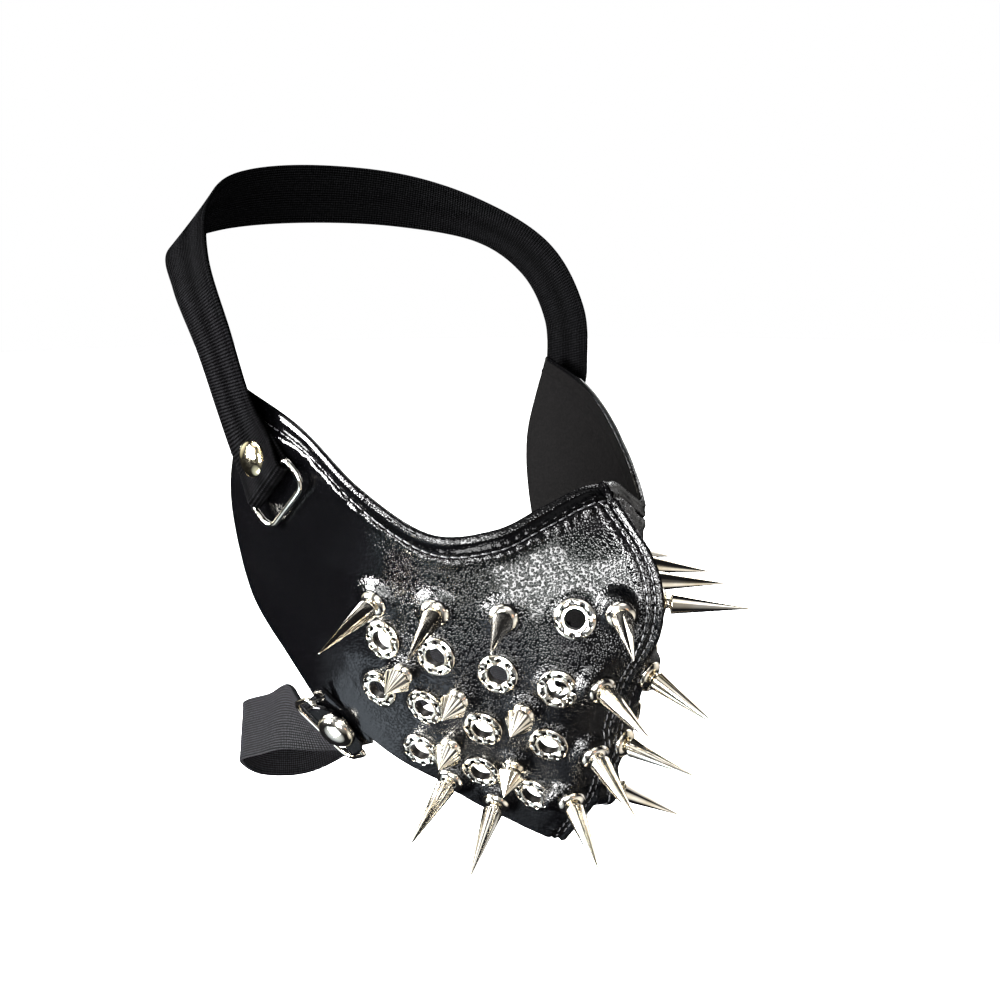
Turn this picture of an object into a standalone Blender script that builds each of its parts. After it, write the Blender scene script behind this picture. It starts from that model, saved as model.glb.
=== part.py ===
# Spiked half-face mask: a leather shell with a centre seam, eyelets, cone spikes, short studs,
# four wire rings and two elastic straps, all at real size in metres.
# The origin is the top of the centre seam, on the bridge of the nose.
# +X is the wearer's left, -Y is forwards and +Z is up.
import math

import bmesh
import bpy
from mathutils import Matrix, Vector

# Driving sizes
HALF_WIDTH = 0.072        # centre seam to the widest place of the back edge
FACE_DEPTH = 0.128        # bridge of the nose to the back edge
FACE_HEIGHT = 0.135       # bridge of the nose down to the chin
LEATHER = 0.0018          # wall of the shell and of its tabs
SEAT_GAP = 0.0003         # clearance between pieces that touch

# Eyelets
EYELET_RADIUS = 0.0070    # outside of the flange
EYELET_HOLE = 0.0036      # open radius
EYELET_HEIGHT = 0.0014    # dome of the flange
EYELET_WALL = 0.0004      # wall of the barrel
EYELET_SIDES = 10
HOLE_CLEARANCE = 0.0003   # leather hole round the barrel
HOLE_DEPTH = 0.0120       # length of the pins that cut the holes
EYELET_STAND = 0.0006     # how far the barrel shows inside the leather
FLANGE_CROWN = 0.78       # where the flange is highest, as a share of its radius
FLANGE_MOUTH = 0.75       # height of the flange at its hole, as a share of its dome

# Long cone spikes
SPIKE_LENGTH = 0.0300     # leather to tip
SPIKE_RADIUS = 0.0037     # foot of the cone
SPIKE_WASHER = 0.0052     # radius of the domed washer
SPIKE_SIDES = 8

# Short cone studs
STUD_LENGTH = 0.0125
STUD_RADIUS = 0.0051
STUD_WASHER = 0.0041
STUD_SIDES = 8

# Both kinds of cone stand on a domed washer and a neck
WASHER_HEIGHT = 0.0022
NECK_HEIGHT = 0.0014
NECK_SHARE = 0.5          # neck radius as a share of the foot of the cone
FOOT_DROP = 0.35          # hollow under the foot of the cone, as a share of the neck's height
NECK_ROOT = 0.9           # where the neck meets the washer, as a share of the washer's height
CROWN_RADIUS = 0.75       # shoulder of the washer's dome, as a share of its radius
CROWN_HEIGHT = 0.72       # shoulder of the washer's dome, as a share of its height

# Straps
UPPER_WEB = 0.0250        # width of the upper elastic
LOWER_WEB = 0.0250        # width of the lower elastic
WEB_THICK = 0.0014
WEB_RETURN = 0.0210       # how far a strap's end comes back from its bar
CURVE_ALLOWANCE = 0.0005  # lift of a flat piece over the bulge of the leather

# Rings and rivets
WIRE_RADIUS = 0.0010
BAR_ROOM = 0.0005         # spare length of a bar beyond the widest band
UPPER_REACH = 0.0110      # from bar to bar of an upper ring, between wire centres
LOWER_REACH = 0.0150      # the same for a lower ring
BAND_CORNER = 0.0020      # radius of a ring's corners at the bar that carries a band
FREE_CORNER = 0.0050      # radius of a ring's corners at its free bar
RING_WIDTH = LOWER_WEB + 2 * BAND_CORNER + BAR_ROOM
RIVET_RADIUS = 0.0068
RIVET_HEIGHT = 0.0034
RIVET_SHANK = 0.0018
RIVET_SIDES = 12
RIVET_SINK = 0.0003       # how far the head is pressed into its band
CORNER_STEPS = 3          # pieces of wire in each ring corner
HAIRPIN_STEPS = 6         # pieces of a band's turn round a bar
HAIRPIN_SLACK = 0.0003    # room of a band's turn over its bar

# Tabs
TAB_WIDTH = 0.0245        # width of the leather tab that holds the lower ring
TAB_REACH = 0.0082        # edge of the shell to the ring's bar
TAB_OVERLAP = 0.0040      # how far the tab's root runs inside the wall
TAB_OVERRUN = 0.0005      # how far the tab's end comes back over the edge of the shell
TAB_SHARE = 0.9           # tab thickness as a share of the shell's wall
TAB_RIVET_SHARE = 0.40    # rivet from the bar to the tab's end

# The centre seam from bridge to chin: back as a share of FACE_DEPTH, up as a share of FACE_HEIGHT
SEAM = (
    # back, up
    (0.000, 0.000),
    (-0.187, -0.167),
    (-0.205, -0.333),
    (-0.094, -0.500),
    (-0.027, -0.667),
    (0.027, -0.833),
    (0.170, -1.000),
)

# Ribs of one half panel, going round from the seam: each runs from the top edge to the lower edge
# through its places, each given as (out, back, up) in shares of the three driving sizes
RIBS = (
    # top edge, then the places below it, the last on the lower edge
    (
        (0.12, 0.025, -0.010), (0.145, -0.090, -0.20), (0.155, -0.107, -0.39),
        (0.15, -0.035, -0.585), (0.14, 0.027, -0.78), (0.12, 0.195, -0.975),
    ),
    ((0.28, 0.07, -0.055), (0.30, -0.02, -0.32), (0.28, 0.03, -0.60), (0.205, 0.26, -0.945)),
    ((0.47, 0.13, -0.105), (0.46, 0.115, -0.34), (0.42, 0.16, -0.60), (0.335, 0.33, -0.895)),
    ((0.68, 0.25, -0.115), (0.64, 0.26, -0.33), (0.60, 0.30, -0.56), (0.485, 0.40, -0.82)),
    ((0.85, 0.42, -0.015), (0.78, 0.44, -0.26), (0.74, 0.465, -0.50), (0.62, 0.485, -0.76)),
    ((0.94, 0.62, 0.120), (0.91, 0.66, -0.14), (0.87, 0.65, -0.42), (0.78, 0.60, -0.660)),
    ((0.985, 0.86, 0.200), (0.985, 0.96, -0.08), (0.955, 0.90, -0.36), (0.84, 0.70, -0.615)),
)

COLUMNS_PER_RIB = 3       # cells of the shell's grid from rib to rib
ROWS = 14                 # cells from the top edge to the lower edge
FRAME_STEP = 0.004        # step round and down over which a direction of the leather is taken
WELD = 0.00001            # places nearer than this become one
SEAT_SAMPLES = 5          # places to each side at which the leather under a washer is measured
SEAT_STEP = 0.013         # distance of those places, as a share of the panel

# Places on a half panel: around as a share from seam to back edge, down as a share from top to
# lower edge
EYELETS = (
    # around, down
    (0.245, 0.315), (0.290, 0.540), (0.280, 0.720), (0.260, 0.880),
    (0.435, 0.495), (0.460, 0.705), (0.440, 0.865),
    (0.570, 0.480), (0.595, 0.705), (0.615, 0.900),
    (0.690, 0.520), (0.710, 0.730),
)

# A spike leans a little from the normal of the leather, in degrees towards the back and downwards
SPIKES = (
    # around, down, right side back, right side down, left side back, left side down
    (0.110, 0.290, -14, 14, -8, 6),
    (0.140, 0.500, -20, -6, -16, 2),
    (0.095, 0.695, 4, 14, 2, -3),
    (0.130, 0.850, -18, -8, 16, 8),
    (0.420, 0.295, -8, 3, 6, 4),
    (0.570, 0.300, -8, 5, 0, 4),
    (0.705, 0.390, 0, 12, 10, 14),
    (0.365, 0.950, -1, 11, -1, 11),
    (0.520, 0.955, 8, 8, 8, 8),
)
STUDS = (
    # around, down, back, down
    (0.370, 0.625, 0, 7),
    (0.355, 0.810, -3, 12),
    (0.520, 0.620, 7, 4),
    (0.530, 0.825, -1, -6),
    (0.645, 0.610, -4, 6),
)

# Upper strap: places on the leather, then a free run over the back of the head
UPPER_FOLD = (0.9035, 0.218)
UPPER_RIVET = (0.9346, 0.165)
UPPER_FAR_BAR = (0.849, 0.3076)
UPPER_BAR_WAY = (-0.219, -0.856, 0.795)
UPPER_RUN = (
    # out, back, up, then the strap's width line as out, back, up
    (1.070, 0.825, 0.165, 0.02, -0.965, 0.26),
    (1.120, 0.870, 0.335, 0.00, -0.95, 0.30),
    (1.100, 1.000, 0.500, -0.10, -0.85, 0.52),
    (0.930, 1.180, 0.615, -0.35, -0.62, 0.70),
    (0.550, 1.340, 0.680, -0.15, -0.45, 0.88),
    (0.000, 1.410, 0.700, 0.00, -0.35, 0.94),
)

# Lower strap: a riveted tab at the lower back corner holds the ring and the strap's end, then a
# free run round the nape
TAB_ROOT = (0.842, 1.0)
TAB_WAY = (-0.12, 0.85, -0.38)
TAB_BAR_WAY = (-0.61, -0.08, -0.96)
LOWER_RUN = (
    # out, back, up, then the strap's width line as out, back, up
    (0.745, 0.940, -0.755, 0.20, -0.33, -0.90),
    (0.690, 1.140, -0.840, 0.42, -0.31, -0.85),
    (0.600, 1.390, -0.950, 0.30, -0.33, -0.89),
    (0.335, 1.510, -1.075, 0.21, -0.11, -0.94),
    (0.000, 1.545, -1.130, 0.00, -0.15, -0.99),
)
RUN_STEPS = 3             # pieces of strap from one place of a run to the next
STRAP_UNDER = 0.0066      # how far the lower strap's end goes under the tab, from the bar
STRAP_SINK = 0.0034       # how far below the tab that end lies, clear of the shell's corner
STRAP_LEVEL = 0.0040      # how far past the bar it stays as low


def start_scene():
    for thing in list(bpy.data.objects):
        bpy.data.objects.remove(thing, do_unlink=True)


def new_collection(name):
    collection = bpy.data.collections.new(name)
    bpy.context.scene.collection.children.link(collection)
    return collection


def new_material(name, colour, roughness, metallic):
    material = bpy.data.materials.new(name)
    material.use_nodes = True
    shader = material.node_tree.nodes["Principled BSDF"]
    shader.inputs["Base Color"].default_value = (*colour, 1.0)
    shader.inputs["Roughness"].default_value = roughness
    shader.inputs["Metallic"].default_value = metallic
    return material


def new_object(name, mesh, collection, material):
    thing = bpy.data.objects.new(name, mesh)
    collection.objects.link(thing)
    if material is not None and not mesh.materials:
        mesh.materials.append(material)
    return thing


def smooth_point(points, place):
    # A smooth curve through the points; place runs from 0 to the number of spans
    span = min(max(int(place), 0), len(points) - 2)
    share = place - span
    first, second = points[span], points[span + 1]
    before = points[span - 1] if span > 0 else first * 2 - second
    after = points[span + 2] if span + 2 < len(points) else second * 2 - first
    return (
        first * 2
        + (second - before) * share
        + (before * 2 - first * 5 + second * 4 - after) * share ** 2
        + (first * 3 - before - second * 3 + after) * share ** 3
    ) * 0.5


def face_point(out, back, up):
    return Vector((out * HALF_WIDTH, back * FACE_DEPTH, up * FACE_HEIGHT))


RIB_POINTS = [[face_point(0.0, back, up) for back, up in SEAM]]
RIB_POINTS += [[face_point(*place) for place in rib] for rib in RIBS]


def panel_point(around, down):
    # Outer face of the wearer's left half panel
    row = [smooth_point(rib, down * (len(rib) - 1)) for rib in RIB_POINTS]
    return smooth_point(row, around * (len(row) - 1))


def panel_frame(around, down):
    # Place, outward normal, direction round the face and direction down, on the left half
    low, high = max(around - FRAME_STEP, 0.0), min(around + FRAME_STEP, 1.0)
    over, under = max(down - FRAME_STEP, 0.0), min(down + FRAME_STEP, 1.0)
    round_way = (panel_point(high, down) - panel_point(low, down)).normalized()
    down_way = (panel_point(around, under) - panel_point(around, over)).normalized()
    normal = down_way.cross(round_way).normalized()
    return panel_point(around, down), normal, round_way, down_way


def mirrored(point, side):
    # side is 1 on the wearer's left and -1 on the right
    return Vector((point[0] * side, point[1], point[2]))


def build_panel_mesh():
    # The outer face of the left half, open all round
    mesh = bpy.data.meshes.new("half_panel")
    form = bmesh.new()
    columns = COLUMNS_PER_RIB * (len(RIB_POINTS) - 1)
    grid = [
        [form.verts.new(panel_point(column / columns, row / ROWS)) for row in range(ROWS + 1)]
        for column in range(columns + 1)
    ]
    for column in range(columns):
        for row in range(ROWS):
            form.faces.new((
                grid[column][row], grid[column][row + 1],
                grid[column + 1][row + 1], grid[column + 1][row],
            ))
    form.to_mesh(mesh)
    form.free()
    return mesh


def add_modifier(thing, kind, name, **settings):
    modifier = thing.modifiers.new(name, kind)
    for key, value in settings.items():
        setattr(modifier, key, value)
    return modifier


def turned(name, profile, sides, collection, material, closed=False):
    # A profile of (radius, height) turned about Z, running down the outer side
    mesh = bpy.data.meshes.new(name)
    form = bmesh.new()
    corners = [form.verts.new((radius, 0.0, height)) for radius, height in profile]
    for first, second in zip(corners, corners[1:]):
        form.edges.new((first, second))
    if closed:
        form.edges.new((corners[-1], corners[0]))
    form.to_mesh(mesh)
    form.free()
    thing = new_object(name, mesh, collection, material)
    add_modifier(
        thing, "SCREW", "Turn", steps=sides, render_steps=sides, angle=math.tau, screw_offset=0.0,
        use_merge_vertices=True, merge_threshold=WELD,
    )
    return thing


def aim(thing, place, normal):
    # Stands a turned piece on a place with its axis along the normal
    turn = Vector((0.0, 0.0, 1.0)).rotation_difference(normal).to_matrix().to_4x4()
    thing.matrix_world = Matrix.Translation(place) @ turn


def ribbon(name, stations, width, thickness, collection, material):
    # A flat band through stations of (place, width line), thickened evenly to both sides
    mesh = bpy.data.meshes.new(name)
    form = bmesh.new()
    rows = []
    for place, across in stations:
        half = across.normalized() * (width / 2)
        rows.append((form.verts.new(place - half), form.verts.new(place + half)))
    for near, far in zip(rows, rows[1:]):
        form.faces.new((near[0], near[1], far[1], far[0]))
    form.to_mesh(mesh)
    form.free()
    thing = new_object(name, mesh, collection, material)
    add_modifier(thing, "SOLIDIFY", "Thickness", thickness=thickness, offset=0.0)
    return thing


def hairpin(bar, way, normal, thickness, back_under):
    # A band's end: it lies under, goes round the bar and comes out on the outer side
    radius = WIRE_RADIUS + SEAT_GAP + thickness / 2 + HAIRPIN_SLACK
    places = [bar - normal * radius - way * back_under, bar - normal * radius - way * radius]
    for step in range(HAIRPIN_STEPS + 1):
        angle = math.pi * (step / HAIRPIN_STEPS - 0.5)
        places.append(bar + normal * radius * math.sin(angle) + way * radius * math.cos(angle))
    return places


def wire_ring(name, near_bar, far_bar, bar_way, collection, material):
    # A rounded rectangle of wire between two bar centres; its near bar carries a band
    reach_way = (far_bar - near_bar).normalized()
    across = (bar_way - reach_way * bar_way.dot(reach_way)).normalized()
    middle = (near_bar + far_bar) / 2
    half_reach = (far_bar - near_bar).length / 2
    corners = (
        (1, 1, FREE_CORNER), (-1, 1, FREE_CORNER), (-1, -1, BAND_CORNER), (1, -1, BAND_CORNER),
    )
    places = []
    for quarter, (over, along, radius) in enumerate(corners):
        for step in range(CORNER_STEPS + 1):
            angle = math.pi / 2 * (quarter + step / CORNER_STEPS)
            places.append(
                middle
                + across * (over * (RING_WIDTH / 2 - radius) + radius * math.cos(angle))
                + reach_way * (along * (half_reach - radius) + radius * math.sin(angle))
            )
    curve = bpy.data.curves.new(name, "CURVE")
    curve.dimensions = "3D"
    curve.bevel_depth = WIRE_RADIUS
    curve.bevel_resolution = 1
    curve.materials.append(material)
    spline = curve.splines.new("POLY")
    spline.points.add(len(places) - 1)
    for point, place in zip(spline.points, places):
        point.co = (*place, 1.0)
    spline.use_cyclic_u = True
    return new_object(name, curve, collection, None)


def cone_profile(length, radius, washer):
    # Tip, cone, neck and domed washer, from the top down
    foot = WASHER_HEIGHT + NECK_HEIGHT
    neck = radius * NECK_SHARE
    return (
        (0.0, length), (radius, foot), (neck, foot - NECK_HEIGHT * FOOT_DROP),
        (neck, WASHER_HEIGHT * NECK_ROOT), (washer * CROWN_RADIUS, WASHER_HEIGHT * CROWN_HEIGHT),
        (washer, 0.0), (0.0, 0.0),
    )


def eyelet_profile():
    # A closed loop: domed flange outside, thin barrel down through the leather
    barrel = EYELET_HOLE + EYELET_WALL
    inner_end = -LEATHER - EYELET_STAND
    return (
        (EYELET_HOLE, EYELET_HEIGHT * FLANGE_MOUTH), (EYELET_RADIUS * FLANGE_CROWN, EYELET_HEIGHT),
        (EYELET_RADIUS, 0.0), (barrel, 0.0), (barrel, inner_end), (EYELET_HOLE, inner_end),
    )


def seat_lift(row_place, axis, radius):
    # Height of a washer's centre along its axis, so that it just clears the highest leather under it
    around, down = row_place
    centre = panel_point(around, down)
    highest = 0.0
    for across in range(-SEAT_SAMPLES, SEAT_SAMPLES + 1):
        for under in range(-SEAT_SAMPLES, SEAT_SAMPLES + 1):
            place = panel_point(
                min(max(around + across * SEAT_STEP, 0.0), 1.0),
                min(max(down + under * SEAT_STEP, 0.0), 1.0),
            )
            height = (place - centre).dot(axis)
            if (place - centre - axis * height).length <= radius:
                highest = max(highest, height)
    return highest + SEAT_GAP


def place_cone(kind, number, side, row_place, lean_back, lean_down, sizes, parts, metal):
    length, radius, washer, sides = sizes
    place, normal, round_way, down_way = panel_frame(*row_place)
    lean_back, lean_down = math.radians(lean_back), math.radians(lean_down)
    axis = (normal + round_way * math.tan(lean_back) + down_way * math.tan(lean_down)).normalized()
    lift = seat_lift(row_place, axis, washer)
    name = f"{kind}_{'left' if side > 0 else 'right'}_{number}"
    thing = turned(name, cone_profile(length, radius, washer), sides, parts, metal)
    aim(thing, mirrored(place + axis * lift, side), mirrored(axis, side))
    return thing


def place_eyelet(number, side, row_place, parts, metal):
    place, normal, _, _ = panel_frame(*row_place)
    name = f"eyelet_{'left' if side > 0 else 'right'}_{number}"
    thing = turned(name, eyelet_profile(), EYELET_SIDES, parts, metal, closed=True)
    lift = seat_lift(row_place, normal, EYELET_RADIUS)
    aim(thing, mirrored(place + normal * lift, side), mirrored(normal, side))
    return thing


def hole_cutter(cutters):
    # One mesh with a pin for each eyelet's hole, on both halves
    mesh = bpy.data.meshes.new("eyelet_holes")
    form = bmesh.new()
    radius = EYELET_HOLE + EYELET_WALL + HOLE_CLEARANCE
    for side in (1, -1):
        for row_place in EYELETS:
            place, normal, _, _ = panel_frame(*row_place)
            place, normal = mirrored(place, side), mirrored(normal, side)
            turn = Vector((0.0, 0.0, 1.0)).rotation_difference(normal).to_matrix().to_4x4()
            bmesh.ops.create_cone(
                form, cap_ends=True, segments=EYELET_SIDES, radius1=radius, radius2=radius,
                depth=HOLE_DEPTH, matrix=Matrix.Translation(place) @ turn,
            )
    form.to_mesh(mesh)
    form.free()
    cutter = new_object("eyelet_holes", mesh, cutters, None)
    cutter.hide_render = True
    cutter.display_type = "WIRE"
    return cutter


def rivet_form(name, place, normal, depth, cutters):
    # A domed head with a shank that reaches down by depth
    head = [
        (RIVET_RADIUS * math.sin(angle), RIVET_HEIGHT * math.cos(angle))
        for angle in (0.0, math.pi / 6, math.pi / 3, math.pi / 2)
    ]
    rim = -RIVET_SINK
    profile = head + [(RIVET_RADIUS, rim), (RIVET_SHANK, rim), (RIVET_SHANK, -depth), (0.0, -depth)]
    thing = turned(name, profile, RIVET_SIDES, cutters, None)
    thing.hide_render = True
    thing.display_type = "WIRE"
    aim(thing, place, normal)
    return thing


def rivet_hole(name, foot, axis, cutters):
    # A pin along a rivet's axis, a little wider than its shank
    mesh = bpy.data.meshes.new(name)
    form = bmesh.new()
    radius = RIVET_SHANK + HOLE_CLEARANCE
    turn = Vector((0.0, 0.0, 1.0)).rotation_difference(axis).to_matrix().to_4x4()
    bmesh.ops.create_cone(
        form, cap_ends=True, segments=RIVET_SIDES, radius1=radius, radius2=radius,
        depth=2 * HOLE_DEPTH, matrix=Matrix.Translation(foot) @ turn,
    )
    form.to_mesh(mesh)
    form.free()
    pin = new_object(name, mesh, cutters, None)
    pin.hide_render = True
    pin.display_type = "WIRE"
    return pin


def join_form(thing, other, name):
    add_modifier(thing, "BOOLEAN", name, operation="UNION", solver="EXACT", object=other)


def upper_layout():
    # Bars, strap stations and rivet of the upper ring, on the left side
    fold, normal, _, _ = panel_frame(*UPPER_FOLD)
    rivet, rivet_normal, _, _ = panel_frame(*UPPER_RIVET)
    bar_way = Vector(UPPER_BAR_WAY)
    bar_way = (bar_way - normal * bar_way.dot(normal)).normalized()
    way = normal.cross(bar_way).normalized()
    if way.z > 0:
        way = -way
    turn = WIRE_RADIUS + SEAT_GAP + WEB_THICK / 2 + HAIRPIN_SLACK
    under = SEAT_GAP + CURVE_ALLOWANCE + WEB_THICK / 2
    bar = fold + normal * (under + turn)
    far_place, far_normal, _, _ = panel_frame(*UPPER_FAR_BAR)
    far_top = far_place + far_normal * (WIRE_RADIUS + SEAT_GAP + CURVE_ALLOWANCE)
    far_bar = bar + (far_top - bar).normalized() * UPPER_REACH
    rise = under + WEB_THICK + 2 * SEAT_GAP
    rivet_place = rivet + rivet_normal * rise
    stations = [(place, bar_way) for place in hairpin(bar, way, normal, WEB_THICK, WEB_RETURN)]
    stations.append((rivet_place, bar_way))
    return bar, far_bar, bar_way, stations, rivet_place, rivet_normal, rise


def lower_layout():
    # Root, bars and directions of the tab and the lower ring, on the left side
    root, normal, _, down_way = panel_frame(*TAB_ROOT)
    way = Vector(TAB_WAY).normalized()
    bar_way = Vector(TAB_BAR_WAY)
    bar_way = (bar_way - way * bar_way.dot(way)).normalized()
    outward = way.cross(bar_way).normalized()
    if outward.dot(normal) < 0:
        outward = -outward
    middle = root - normal * (LEATHER / 2)
    turn = WIRE_RADIUS + SEAT_GAP + LEATHER / 2 + HAIRPIN_SLACK
    bar = middle + way * TAB_REACH + outward * turn
    return middle, down_way, way, bar_way, outward, turn, bar


def lower_rivet():
    # Foot of the lower rivet's head, its axis, the end of the tab and the strap's depth below it
    _, _, way, bar_way, outward, turn, bar = lower_layout()
    end = bar - way * (TAB_REACH + TAB_OVERRUN) - outward * (turn - LEATHER - 2 * SEAT_GAP)
    spot = (bar + outward * turn).lerp(end, TAB_RIVET_SHARE)
    axis = (bar + outward * turn - end).cross(bar_way).normalized()
    if axis.dot(outward) < 0:
        axis = -axis
    foot = spot + axis * LEATHER / 2
    web_depth = turn + LEATHER / 2 + STRAP_SINK + WEB_THICK / 2
    return foot, axis, end, web_depth


def run_stations(start, start_across, run):
    # The free stretch of a strap from its ring to the middle of the back of the head
    places = [start] + [face_point(*row[:3]) for row in run]
    lines = [start_across] + [Vector(row[3:]).normalized() for row in run]
    # The first place past the middle guides the curve, so that both halves meet level
    places.append(mirrored(places[-2], -1))
    lines.append(mirrored(lines[-2], -1))
    steps = len(run) * RUN_STEPS
    return [
        (smooth_point(places, step / RUN_STEPS), smooth_point(lines, step / RUN_STEPS))
        for step in range(1, steps + 1)
    ]


def whole_strap(half):
    # The left half's stations, then the right half's back to the other ring
    other = [(mirrored(place, -1), mirrored(across, -1)) for place, across in reversed(half[:-1])]
    return half + other


def build_shell(parts, cutters, leather):
    shell = new_object("mask_shell", build_panel_mesh(), parts, leather)
    add_modifier(
        shell, "MIRROR", "Both halves", use_axis=(True, False, False), use_clip=True,
        merge_threshold=WELD,
    )
    add_modifier(shell, "SOLIDIFY", "Leather", thickness=LEATHER, offset=-1.0)
    cutter = hole_cutter(cutters)
    add_modifier(shell, "BOOLEAN", "Holes", operation="DIFFERENCE", solver="EXACT", object=cutter)
    return shell


def build_tabs(shell, cutters):
    middle, down_way, way, bar_way, outward, _, bar = lower_layout()
    foot, axis, end, web_depth = lower_rivet()
    places = [middle - down_way * TAB_OVERLAP]
    places += hairpin(bar, way, outward, LEATHER, TAB_REACH)
    places.append(end)
    depth = ((foot - bar).dot(outward) + web_depth + WEB_THICK / 2 + 2 * SEAT_GAP) / axis.dot(outward)
    for side in (1, -1):
        word = "left" if side > 0 else "right"
        stations = [(mirrored(place, side), mirrored(bar_way, side)) for place in places]
        tab = ribbon(f"tab_form_{word}", stations, TAB_WIDTH, LEATHER * TAB_SHARE, cutters, None)
        tab.hide_render = True
        tab.display_type = "WIRE"
        rivet = rivet_form(
            f"tab_rivet_form_{word}", mirrored(foot, side), mirrored(axis, side), depth, cutters,
        )
        join_form(shell, tab, f"Tab {word}")
        join_form(shell, rivet, f"Tab rivet {word}")


def build_upper(parts, cutters, web, metal):
    bar, far_bar, bar_way, stations, rivet_place, rivet_normal, rise = upper_layout()
    half = stations + run_stations(rivet_place, bar_way, UPPER_RUN)
    strap = ribbon("upper_strap", whole_strap(half), UPPER_WEB, WEB_THICK, parts, web)
    for side in (1, -1):
        word = "left" if side > 0 else "right"
        wire_ring(
            f"upper_ring_{word}", mirrored(bar, side), mirrored(far_bar, side),
            mirrored(bar_way, side), parts, metal,
        )
        rivet = rivet_form(
            f"upper_rivet_form_{word}", mirrored(rivet_place + rivet_normal * WEB_THICK / 2, side),
            mirrored(rivet_normal, side), rise + WEB_THICK / 2 - 2 * SEAT_GAP, cutters,
        )
        join_form(strap, rivet, f"Rivet {word}")


def build_lower(parts, cutters, web, metal):
    _, _, way, bar_way, outward, _, bar = lower_layout()
    foot, axis, _, web_depth = lower_rivet()
    far_bar = bar + way * LOWER_REACH
    level = outward * web_depth
    below = far_bar - outward * (WIRE_RADIUS + SEAT_GAP + HAIRPIN_SLACK + WEB_THICK / 2)
    half = [(bar - way * STRAP_UNDER - level, bar_way), (bar + way * STRAP_LEVEL - level, bar_way)]
    half.append((below, bar_way))
    half += run_stations(below, bar_way, LOWER_RUN)
    strap = ribbon("lower_strap", whole_strap(half), LOWER_WEB, WEB_THICK, parts, web)
    for side in (1, -1):
        word = "left" if side > 0 else "right"
        pin = rivet_hole(f"strap_hole_{word}", mirrored(foot, side), mirrored(axis, side), cutters)
        add_modifier(
            strap, "BOOLEAN", f"Hole {word}", operation="DIFFERENCE", solver="EXACT", object=pin,
        )
        wire_ring(
            f"lower_ring_{word}", mirrored(bar, side), mirrored(far_bar, side),
            mirrored(bar_way, side), parts, metal,
        )


def build_hardware(parts, metal):
    spike_sizes = (SPIKE_LENGTH, SPIKE_RADIUS, SPIKE_WASHER, SPIKE_SIDES)
    stud_sizes = (STUD_LENGTH, STUD_RADIUS, STUD_WASHER, STUD_SIDES)
    for side in (1, -1):
        for number, row_place in enumerate(EYELETS, 1):
            place_eyelet(number, side, row_place, parts, metal)
        for number, row in enumerate(SPIKES, 1):
            around, down, right_back, right_down, left_back, left_down = row
            lean = (left_back, left_down) if side > 0 else (right_back, right_down)
            place_cone("spike", number, side, (around, down), *lean, spike_sizes, parts, metal)
        for number, row in enumerate(STUDS, 1):
            around, down, back, low = row
            place_cone("stud", number, side, (around, down), back, low, stud_sizes, parts, metal)


def main():
    start_scene()
    parts = new_collection("spiked_face_mask")
    cutters = new_collection("forms")
    leather = new_material("black_leather", (0.012, 0.012, 0.014), 0.35, 0.0)
    web = new_material("black_elastic", (0.030, 0.030, 0.032), 0.80, 0.0)
    metal = new_material("nickel", (0.78, 0.74, 0.68), 0.15, 1.0)
    shell = build_shell(parts, cutters, leather)
    build_tabs(shell, cutters)
    build_upper(parts, cutters, web, metal)
    build_lower(parts, cutters, web, metal)
    build_hardware(parts, metal)


main()
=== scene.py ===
# Dressed model of the spiked half-face mask: leather, eyelets, cones, rings and straps.
# Metres, the same frame as the solids: +X is the wearer's left, -Y forwards, +Z up.
import math

import bmesh
import bpy
import numpy as np
from mathutils import Matrix, Vector, noise


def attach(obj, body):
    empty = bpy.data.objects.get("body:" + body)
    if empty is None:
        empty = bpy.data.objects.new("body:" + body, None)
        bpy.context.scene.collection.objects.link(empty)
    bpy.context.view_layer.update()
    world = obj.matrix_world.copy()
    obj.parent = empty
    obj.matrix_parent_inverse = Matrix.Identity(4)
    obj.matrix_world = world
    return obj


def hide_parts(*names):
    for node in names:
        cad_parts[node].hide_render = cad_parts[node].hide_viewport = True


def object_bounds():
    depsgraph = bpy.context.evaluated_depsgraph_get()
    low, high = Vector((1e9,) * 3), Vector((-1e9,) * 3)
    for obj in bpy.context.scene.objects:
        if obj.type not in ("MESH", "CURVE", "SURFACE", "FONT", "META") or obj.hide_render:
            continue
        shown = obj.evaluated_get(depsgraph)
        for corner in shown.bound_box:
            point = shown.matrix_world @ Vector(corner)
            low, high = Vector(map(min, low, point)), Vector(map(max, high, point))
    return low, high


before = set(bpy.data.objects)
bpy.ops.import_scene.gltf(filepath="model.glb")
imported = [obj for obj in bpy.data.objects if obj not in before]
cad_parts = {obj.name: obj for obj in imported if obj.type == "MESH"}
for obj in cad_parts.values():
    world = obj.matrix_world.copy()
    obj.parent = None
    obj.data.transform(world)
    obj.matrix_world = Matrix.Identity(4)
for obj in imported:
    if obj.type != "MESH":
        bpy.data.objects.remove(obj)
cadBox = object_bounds()
print("frame loaded")

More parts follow.
